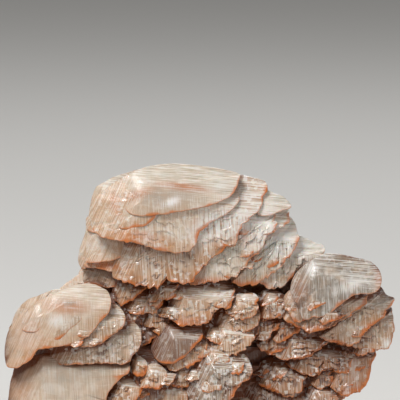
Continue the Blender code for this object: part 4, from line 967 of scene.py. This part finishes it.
def shell_object(shell, collection):
    """The shell as a mesh object, with its marks as corner attributes."""
    mesh = bpy.data.meshes.new(shell["name"])
    mesh.from_pydata(shell["points"].tolist(), [], shell["fans"].tolist() + shell["quads"].tolist())
    marks = {name: np.asarray(values, float) for name, values in shell["marks"].items()}
    ones = np.ones(len(shell["points"]))
    layers = {
        "faces": (marks["upper"], marks["left"], marks["under"], marks["ledge"]),
        "rims": (np.clip(marks["inset"] / SPANS["inset"], 0, 1), marks["low_rim"],
                 *(np.clip(0.5 + marks[depth] / SPANS[depth], 0, 1) for depth in ("near", "far"))),
        "tones": tuple(tone * ones for tone in shell["tones"]),
        "stains": (*shell["stains"].T, ones)}
    corners = values_of(mesh.loops, "vertex_index", 1)
    for name, channels in layers.items():
        layer = mesh.attributes.new(name, "FLOAT_COLOR", "CORNER")
        layer.data.foreach_set("color", np.stack(channels, axis=-1)[corners].astype(np.float32).ravel())
    layer = mesh.attributes.new("grain", "FLOAT_VECTOR", "CORNER")
    layer.data.foreach_set("vector", shell["grain"][corners].astype(np.float32).ravel())
    item = bpy.data.objects.new(shell["name"], mesh)
    collection.objects.link(item)
    if signed_volumes(mesh).sum() < 0:
        mesh.flip_normals()
    return item


def values_of(items, name, each, kind=np.int32):
    """The value of a property, of each numbers, of all items of a mesh, in one row."""
    values = np.zeros(len(items) * each, kind)
    items.foreach_get(name, values)
    return values


def signed_volumes(mesh):
    """Each triangle's share of the volume, a . (b x c) / 6."""
    mesh.calc_loop_triangles()
    points = values_of(mesh.vertices, "co", 3, float).reshape(-1, 3)
    corners = values_of(mesh.loop_triangles, "vertices", 3).reshape(-1, 3)
    a, b, c = np.moveaxis(points[corners], 1, 0)
    return np.einsum("ij,ij->i", a, np.cross(b, c)) / 6


def combine(first, second, operation):
    """Put a Boolean of one closed mesh with another on the first."""
    join = first.modifiers.new("grown", "BOOLEAN")
    join.operation = operation
    join.solver = "MANIFOLD"
    join.object = second


def take(item, depsgraph):
    """Make the result of an object's modifiers its mesh."""
    mesh = bpy.data.meshes.new_from_object(item.evaluated_get(depsgraph), preserve_all_data_layers=True,
                                           depsgraph=depsgraph)
    item.modifiers.clear()
    item.data = mesh


def grown_together(items):
    """Union of many closed meshes, pair by pair, and then pair by pair of the results."""
    while len(items) > 1:
        pairs = list(zip(items[::2], items[1::2]))
        for first, second in pairs:
            combine(first, second, "UNION")
        bpy.context.view_layer.update()
        depsgraph = bpy.context.evaluated_depsgraph_get()
        for first, second in pairs:
            take(first, depsgraph)
        for first, second in pairs:
            bpy.data.objects.remove(second)
        items = [first for first, second in pairs] + (items[-1:] if len(items) % 2 else [])
    return items[0]


def cut_flat(item):
    """Take away what lies below the plane on which the cluster stands."""
    bm = bmesh.new()
    bmesh.ops.create_cube(bm, size=CUTTER)
    bmesh.ops.translate(bm, verts=bm.verts[:], vec=(0, 0, -CUTTER / 2))
    mesh = bpy.data.meshes.new("base")
    bm.to_mesh(mesh)
    bm.free()
    block = bpy.data.objects.new("base", mesh)
    bpy.context.scene.collection.objects.link(block)
    combine(item, block, "DIFFERENCE")
    bpy.context.view_layer.update()
    take(item, bpy.context.evaluated_depsgraph_get())
    bpy.data.objects.remove(block)


def without_pockets(mesh):
    """Remove the closed surfaces inside, each of which bounds a pocket: their signed volume is negative."""
    a, b = values_of(mesh.edges, "vertices", 2).reshape(-1, 2).T
    label = np.arange(len(mesh.vertices))
    while True:
        low = np.minimum(label[a], label[b])
        following = label.copy()
        np.minimum.at(following, a, low)
        np.minimum.at(following, b, low)
        following = following[following]
        if (following == label).all():
            break
        label = following
    volumes = signed_volumes(mesh)
    corners = values_of(mesh.loop_triangles, "vertices", 3)
    total = np.bincount(label[corners[::3]], weights=volumes, minlength=len(label))
    pocket = (total < LEAST_VOLUME)[label]
    if pocket.any():
        bm = bmesh.new()
        bm.from_mesh(mesh)
        bm.verts.ensure_lookup_table()
        bmesh.ops.delete(bm, geom=[bm.verts[index] for index in np.flatnonzero(pocket)], context="VERTS")
        bm.to_mesh(mesh)
        bm.free()


def make_piece(name):
    """Grow one piece of the cluster, give it its material and hang it in the frame."""
    collection = bpy.context.scene.collection
    shells = [shell for group in PIECES[name] for shell in grown_shells()[group]]
    item = grown_together([shell_object(shell, collection) for shell in shells])
    cut_flat(item)
    without_pockets(item.data)
    item.name = item.data.name = name
    item.data.polygons.foreach_set("use_smooth", [True] * len(item.data.polygons))
    item.data.set_sharp_from_angle(angle=math.radians(bpy.context.scene.calcite_shape.sharp_angle))
    item.data.materials.clear()
    item.data.materials.append(calcite_material())
    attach(item, "root")
    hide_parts(NODE)


class Wire:
    """A value of the node tree: the operators add Math nodes."""

    def __init__(self, shading, socket):
        self.shading = shading
        self.socket = socket

    def math(self, operation, *others):
        return self.shading.node("ShaderNodeMath", {"operation": operation}, [self, *others])

    def __add__(self, other):
        return self.math("ADD", other)

    __radd__ = __add__

    def __mul__(self, other):
        return self.math("MULTIPLY", other)

    __rmul__ = __mul__

    def __sub__(self, other):
        return self.math("SUBTRACT", other)

    def __rsub__(self, other):
        return self.shading.node("ShaderNodeMath", {"operation": "SUBTRACT"}, [other, self])

    def __truediv__(self, other):
        return self.math("DIVIDE", other)

    def between(self, low, high):
        """0 below low, 1 above high, smooth between them; the other way round where low is above high."""
        return self.shading.node("ShaderNodeMapRange", {"interpolation_type": "SMOOTHSTEP"},
                                 [self, low, high, 0.0, 1.0])


class Shading:
    """Builds the node tree of a material."""

    def __init__(self, name):
        self.material = bpy.data.materials.new(name)
        self.material.use_nodes = True
        self.tree = self.material.node_tree
        self.shader = self.tree.nodes["Principled BSDF"]

    def put(self, value, target):
        if isinstance(value, Wire):
            self.tree.links.new(value.socket, target)
        else:
            target.default_value = value

    def node(self, kind, settings=None, inputs=(), output=0):
        """Add a node: its settings first, then the values or links of its sockets, by order or by name."""
        made = self.tree.nodes.new(kind)
        for name, value in (settings or {}).items():
            setattr(made, name, value)
        named = inputs.items() if isinstance(inputs, dict) else enumerate(inputs)
        for name, value in named:
            self.put(value, made.inputs[name])
        if isinstance(output, (tuple, list)):
            return [Wire(self, made.outputs[name]) for name in output]
        return Wire(self, made.outputs[output])

    def colour(self, amount, first, second, blend="MIX"):
        """Colour mix of first and second by amount."""
        return self.node("ShaderNodeMix", {"data_type": "RGBA", "blend_type": blend, "clamp_factor": True},
                         {0: amount, 6: first, 7: second}, 2)

    def layer(self, name):
        """The four channels of a colour attribute."""
        colour, alpha = self.node("ShaderNodeAttribute", {"attribute_name": name}, (), ("Color", "Alpha"))
        return [*self.node("ShaderNodeSeparateColor", {}, [colour], (0, 1, 2)), alpha]

    def vector(self, x, y, z):
        return self.node("ShaderNodeCombineXYZ", {}, [x, y, z])

    def noise(self, vector, scale, detail=2.0, rough=0.5, warp=0.0):
        return self.node("ShaderNodeTexNoise", {}, {"Vector": vector, "Scale": scale, "Detail": detail,
                                                    "Roughness": rough, "Distortion": warp})

    def set(self, **values):
        for name, value in values.items():
            self.put(value, self.shader.inputs[name.replace("_", " ").title()])


def rgba(colour):
    return (*colour, 1.0)


@functools.lru_cache(maxsize=None)
def calcite_material():
    """Silky, faintly translucent calcite with rust in its thin rims and umber in its hollows, painted also as
    the rims' glow and the hollows' shade, with painted sheen and glints.
    """
    look = bpy.context.scene.calcite_look
    shading = Shading("calcite")
    upper, left, under, ledge = shading.layer("faces")
    inset, low_rim, near, far = shading.layer("rims")
    warm, dark, grey, sparkle = shading.layer("tones")
    rust, white, smoke, _ = shading.layer("stains")
    grain = shading.node("ShaderNodeAttribute", {"attribute_name": "grain"}, (), "Vector")
    x, y, own = shading.node("ShaderNodeSeparateXYZ", {}, [grain], (0, 1, 2))
    inset = inset * SPANS["inset"]
    near = (near - 0.5) * SPANS["near"]
    far = (far - 0.5) * SPANS["far"]
    # Painted light at the shingles: a rust glow on each raised edge and a shadow at its foot.
    lip = ledge.between(0.52, 0.9)
    ledge_shadow = ledge.between(0.48, 0.1)

    # Streaks across each of the three faces, and clouds, haze, grit and flecks over all of them.
    level = shading.noise(shading.vector(x * 0.12, y * 5.0 + x * 0.42, own), 1.0, 1.0, 0.5)
    slanted = shading.noise(shading.vector(x * 4.5 - y * 2.10, x * 0.08 + y * 0.15, own), 1.0, 1.0, 0.5)
    upright = shading.noise(shading.vector(x * 5.0 + y * 0.30, y * 0.15, own), 1.0, 1.0, 0.5)
    streak = upper * level + left * slanted + (1.0 - upper - left) * upright
    cloud = shading.noise(grain, 0.30, 3.0, 0.55)
    haze = shading.noise(shading.vector(x * 0.16, y * 0.34, own), 1.0, 3.0, 0.6, 0.6)
    grit = shading.noise(grain, 2.2, 3.0, 0.7)
    flecks, centre_of = shading.node(
        "ShaderNodeTexVoronoi", {"distance": "CHEBYCHEV"}, {"Vector": grain, "Scale": 1.15},
        ("Color", "Position"))
    offset = shading.node("ShaderNodeVectorMath", {"operation": "SUBTRACT"}, [grain, centre_of])
    lean = shading.node("ShaderNodeVectorMath", {"operation": "SUBTRACT"}, [flecks, (0.5, 0.5, 0.5)])
    facet = shading.node("ShaderNodeVectorMath", {"operation": "DOT_PRODUCT"}, [offset, lean], "Value")
    # Painted glints: white specks in the cells whose first number is high.
    painted_glint = shading.node("ShaderNodeSeparateColor", {}, [flecks], 0).between(0.80, 0.86)

    # Where the hollows, rims and blushes are: the hollows' umber is partly iron stain and partly painted
    # shade of their depth, and the rims' rust is partly stain and partly painted glow.
    bright = streak.between(0.50, 0.60)
    dull = streak.between(0.49, 0.39)
    # Painted shade, with the iron stain of the hollows: umber by the depth below the blurred surface, by the
    # crystal's darkness and at each ledge's foot.
    hollow = near.between(0.15, 1.4) * 0.65 + far.between(0.4, 3.2) * 0.6 + dark * 0.75
    hollow = hollow * (0.45 + 1.0 * cloud) + 0.5 * ledge_shadow
    patch = shading.noise(grain, 0.16, 2.0, 0.5).between(0.46, 0.66)
    # The thin low rims, the shingles' raised edges and the undersides near the rim take rust: partly iron
    # stain, partly painted glow of light through the thin crystal.
    rim = (inset / (0.55 + 1.1 * patch)).between(1.0, 0.15) * low_rim.between(0.25, 0.75)
    rim = rim * (0.50 + 0.45 * patch + 0.25 * warm)
    rim_rust_and_glow = rim + under * (0.15 + 0.45 * dark) + lip * 0.35 * warm
    blush = inset.between(6.0, 0.3) * low_rim.between(0.0, 0.6) * (0.6 + 0.6 * patch)

    # Colours, one over the other: body, clouds, stains, hollows (umber stain and painted shade), painted
    # sheen, painted glints, rims (rust and painted glow).
    body = shading.colour(warm * (0.2 + 1.0 * cloud) + 0.75 * blush, rgba(look.cream), rgba(look.rose))
    # The upper faces are painted paler with cream, as light falls on them from above.
    body = shading.colour(upper * 0.55, body, rgba(look.cream))
    body = shading.colour(left * 0.40, body, rgba(look.rose))
    body = shading.colour(grey * cloud.between(0.25, 0.6), body, rgba(look.ash))
    body = shading.colour(haze.between(0.50, 0.72) * (0.60 - 0.50 * warm), body, rgba(look.ash))
    body = shading.colour(haze.between(0.48, 0.30) * (0.50 - 0.45 * warm), body, rgba(look.white))
    shade = shading.colour(warm, rgba(look.ash), rgba(look.rose))
    body = shading.colour(dull * (0.18 + 0.35 * sparkle + 0.15 * upper), body, shade, "MULTIPLY")
    body = shading.colour(rust * (0.5 + streak), body, rgba(look.rust))
    body = shading.colour(smoke * streak.between(0.3, 0.6), body, rgba(look.smoke))
    body = shading.colour(hollow, body, rgba(look.umber))
    # Painted sheen: white over the bright streaks, most on the upper faces and on sparkling crystals, least
    # in the hollows.
    silk = bright * (0.28 + 0.32 * upper + 0.35 * sparkle - 0.15 * warm)
    body = shading.colour(silk * (1.0 - 0.8 * near.between(0.2, 1.2)), body, rgba(look.white))
    body = shading.colour(painted_glint * sparkle * 0.75 * (1.0 - ledge_shadow), body, rgba(look.white))
    # White stains: frost, and painted highlight where faces shine.
    body = shading.colour(white * streak.between(0.3, 0.5), body, rgba(look.white))
    body = shading.colour(rim_rust_and_glow * 0.9, body, rgba(look.rust))

    # Fine relief and gloss.
    relief = streak * 0.5 + grit * (0.15 + 0.25 * sparkle) + facet * (0.2 + 1.2 * sparkle)
    bump = shading.node("ShaderNodeBump", {},
                        {"Strength": 1.0, "Distance": look.relief * MM, "Height": relief})
    shading.set(base_color=body, roughness=0.34 + 0.25 * grit - 0.15 * sparkle, metallic=0.0,
                coat_weight=0.04 + 0.6 * sparkle, normal=bump)
    shader = shading.shader
    shader.inputs["IOR"].default_value = 1.6
    shader.inputs["Coat Roughness"].default_value = 0.10
    shader.inputs["Subsurface Weight"].default_value = look.depth
    shader.inputs["Subsurface Radius"].default_value = (1.0, 0.6, 0.4)
    shader.inputs["Subsurface Scale"].default_value = look.depth_scale * MM
    shader.inputs["Transmission Weight"].default_value = look.clear
    return shading.material


def plain_material(name, colour, roughness):
    shading = Shading(name)
    shading.set(base_color=rgba(colour), roughness=roughness)
    return shading.material


def colour_property(name, description, default):
    return FloatVectorProperty(name=name, description=description, subtype="COLOR", default=default)


class CalciteShape(bpy.types.PropertyGroup):
    sharp_angle: FloatProperty(name="Sharp angle",
                               description="Edges steeper than this stay crisp, in degrees",
                               default=15.0, min=5.0, max=90.0)


class CalciteLook(bpy.types.PropertyGroup):
    # Cream, laid over the upper faces, also paints the light falling on them.
    cream: colour_property("Cream", "Body colour of the upper faces", (0.77, 0.675, 0.545))
    rose: colour_property("Rose", "Body colour of the left and low faces", (0.64, 0.35, 0.172))
    ash: colour_property("Ash", "Greyish clear places", (0.42, 0.39, 0.32))
    smoke: colour_property("Smoke", "Dark clear places inside", (0.24, 0.20, 0.16))
    # Rust also paints the glow of the thin rims and undersides.
    rust: colour_property("Rust", "Iron stain of the thin rims", (0.62, 0.165, 0.018))
    # Umber is partly the iron stain of the hollows and partly their painted shade.
    umber: colour_property("Umber", "Colour of the hollows", (0.16, 0.045, 0.012))
    # White also paints the sheen, the glints and the highlights.
    white: colour_property("White", "Silky streaks and frost", (0.92, 0.89, 0.84))
    relief: FloatProperty(name="Relief", description="Depth of the striation, in mm", default=0.16, min=0.0)
    depth: FloatProperty(name="Translucency", description="Share of light that enters the body", default=0.30,
                         min=0.0, max=1.0)
    depth_scale: FloatProperty(name="Translucency depth", description="Mean depth of that light, in mm",
                               default=0.5, min=0.0)
    clear: FloatProperty(name="Clearness", description="Share of light that passes as through glass",
                         default=0.22, min=0.0, max=1.0)


class CalciteStage(bpy.types.PropertyGroup):
    distance: FloatProperty(name="Camera distance", description="From the specimen's middle", default=1.4,
                            unit="LENGTH")
    key: FloatProperty(name="Key light", description="Power of the large soft light", default=12.5,
                       unit="POWER")
    fill: FloatProperty(name="Fill light", description="Power of the weak light on the right", default=3.5,
                        unit="POWER")
    back: FloatProperty(name="Back light", description="Power of the light behind the crown", default=1.8,
                        unit="POWER")
    sky: FloatProperty(name="Surroundings", description="Brightness of the surroundings", default=0.24)
    floor: colour_property("Floor", "Colour of the floor", (0.62, 0.61, 0.59))


class CrystalOperator:
    bl_options = {"REGISTER", "UNDO"}
    piece = ""

    def execute(self, context):
        make_piece(self.piece)
        return {"FINISHED"}


class CALCITE_OT_crown(CrystalOperator, bpy.types.Operator):
    """Grow the large pale crown and the steps on its right"""
    bl_idname = "calcite.crown"
    bl_label = "Crown crystals"
    piece = "crown_crystals"


class CALCITE_OT_right(CrystalOperator, bpy.types.Operator):
    """Grow the right crystal, its ledges and the rows under it"""
    bl_idname = "calcite.right"
    bl_label = "Right crystals"
    piece = "right_crystals"


class CALCITE_OT_middle(CrystalOperator, bpy.types.Operator):
    """Grow the broken crystals of the middle"""
    bl_idname = "calcite.middle"
    bl_label = "Middle crystals"
    piece = "middle_crystals"


class CALCITE_OT_left(CrystalOperator, bpy.types.Operator):
    """Grow the large left crystal and what lies under it"""
    bl_idname = "calcite.left"
    bl_label = "Left crystals"
    piece = "left_crystals"


class CALCITE_OT_foot(CrystalOperator, bpy.types.Operator):
    """Grow the crystals of the foot"""
    bl_idname = "calcite.foot"
    bl_label = "Foot crystals"
    piece = "foot_crystals"


class CALCITE_OT_flank(CrystalOperator, bpy.types.Operator):
    """Grow the stacks of crystals whose edges make the flanks"""
    bl_idname = "calcite.flank"
    bl_label = "Flank crystals"
    piece = "flank_crystals"


class CALCITE_OT_rear(CrystalOperator, bpy.types.Operator):
    """Grow the mound and the crystals of the top and the back"""
    bl_idname = "calcite.rear"
    bl_label = "Rear crystals"
    piece = "rear_crystals"


FLOOR_RADIUS = 8              # m
FLOOR_SIDES = 64
FLOOR_GAP = 0.0002            # how far the floor lies below the base, m
LIT_POINT = (0.0, 0.0, 0.045)
LIGHTS = {                    # size and place of each light, in m
    "key": (0.45, (-0.45, -0.40, 0.95)), "fill": (0.6, (0.9, -0.6, 0.35)), "back": (0.5, (0.1, 0.75, 0.7))}
SKY_COLOUR = (0.95, 0.94, 0.92)
SENSOR = 36.0                 # mm
VIEW_MIDDLE = (200.0, 200.0, 20.0)   # sheet x, y and out (mm) of what the camera looks at


def soft_light(name, power, size, place, target):
    """A square area light at place, turned to target."""
    data = bpy.data.lights.new(name, "AREA")
    data.energy = power
    data.size = size
    item = bpy.data.objects.new(name, data)
    bpy.context.scene.collection.objects.link(item)
    aim(item, place, target)


def aim(item, place, target):
    """Put an object at place and turn its -Z to target."""
    item.location = place
    item.rotation_mode = "QUATERNION"
    item.rotation_quaternion = (Vector(target) - Vector(place)).to_track_quat("-Z", "Y")


class CALCITE_OT_stage(bpy.types.Operator):
    """Make the pale floor, the soft lights and the camera"""
    bl_idname = "calcite.stage"
    bl_label = "Stage"
    bl_options = {"REGISTER", "UNDO"}

    def execute(self, context):
        stage = context.scene.calcite_stage
        angles = np.arange(FLOOR_SIDES) * 2 * math.pi / FLOOR_SIDES
        ring = np.column_stack((FLOOR_RADIUS * np.cos(angles), FLOOR_RADIUS * np.sin(angles),
                                np.full(FLOOR_SIDES, -FLOOR_GAP)))
        mesh = bpy.data.meshes.new("floor")
        mesh.from_pydata(ring.tolist(), [], [list(range(FLOOR_SIDES))])
        floor = bpy.data.objects.new("floor", mesh)
        context.scene.collection.objects.link(floor)
        mesh.materials.append(plain_material("pale_floor", stage.floor, 0.8))

        for name, (size, place) in LIGHTS.items():
            soft_light(name, getattr(stage, name), size, place, LIT_POINT)
        world = bpy.data.worlds.new("surroundings")
        world.use_nodes = True
        background = world.node_tree.nodes["Background"]
        background.inputs["Color"].default_value = rgba(SKY_COLOUR)
        background.inputs["Strength"].default_value = stage.sky
        context.scene.world = world

        target = growth_to_world(sheet_to_growth(*VIEW_MIDDLE))
        place = target + np.array((0, -math.cos(LEAN), math.sin(LEAN))) * stage.distance
        data = bpy.data.cameras.new("camera")
        data.sensor_width = SENSOR
        data.lens = SENSOR * stage.distance / (VIEW_WIDTH * UNIT)
        data.clip_start = 0.05
        data.clip_end = 60.0
        camera = bpy.data.objects.new("camera", data)
        context.scene.collection.objects.link(camera)
        aim(camera, place, target)
        context.scene.camera = camera
        context.scene.view_settings.view_transform = "Standard"
        return {"FINISHED"}


class CALCITE_PT_panel(bpy.types.Panel):
    bl_label = "Calcite cluster"
    bl_idname = "CALCITE_PT_panel"
    bl_space_type = "VIEW_3D"
    bl_region_type = "UI"
    bl_category = "Calcite"

    def draw(self, context):
        for group in SETTINGS:
            settings = getattr(context.scene, group)
            box = self.layout.box()
            for name in settings.bl_rna.properties.keys():
                if name not in ("rna_type", "name"):
                    box.prop(settings, name)
        for operator in OPERATORS:
            self.layout.operator(operator.bl_idname)


OPERATORS = (CALCITE_OT_crown, CALCITE_OT_right, CALCITE_OT_middle, CALCITE_OT_left, CALCITE_OT_foot,
             CALCITE_OT_flank, CALCITE_OT_rear, CALCITE_OT_stage)
SETTINGS = {"calcite_shape": CalciteShape, "calcite_look": CalciteLook, "calcite_stage": CalciteStage}


def register():
    for made in (*SETTINGS.values(), *OPERATORS, CALCITE_PT_panel):
        bpy.utils.register_class(made)
    for name, made in SETTINGS.items():
        setattr(bpy.types.Scene, name, PointerProperty(type=made))


def unregister():
    for name in SETTINGS:
        delattr(bpy.types.Scene, name)
    for made in (CALCITE_PT_panel, *reversed(OPERATORS), *reversed(SETTINGS.values())):
        bpy.utils.unregister_class(made)


def main():
    register()
    for name in ("crown", "right", "middle", "left", "foot", "flank", "rear", "stage"):
        getattr(bpy.ops.calcite, name)()


if __name__ == "__main__":
    main()
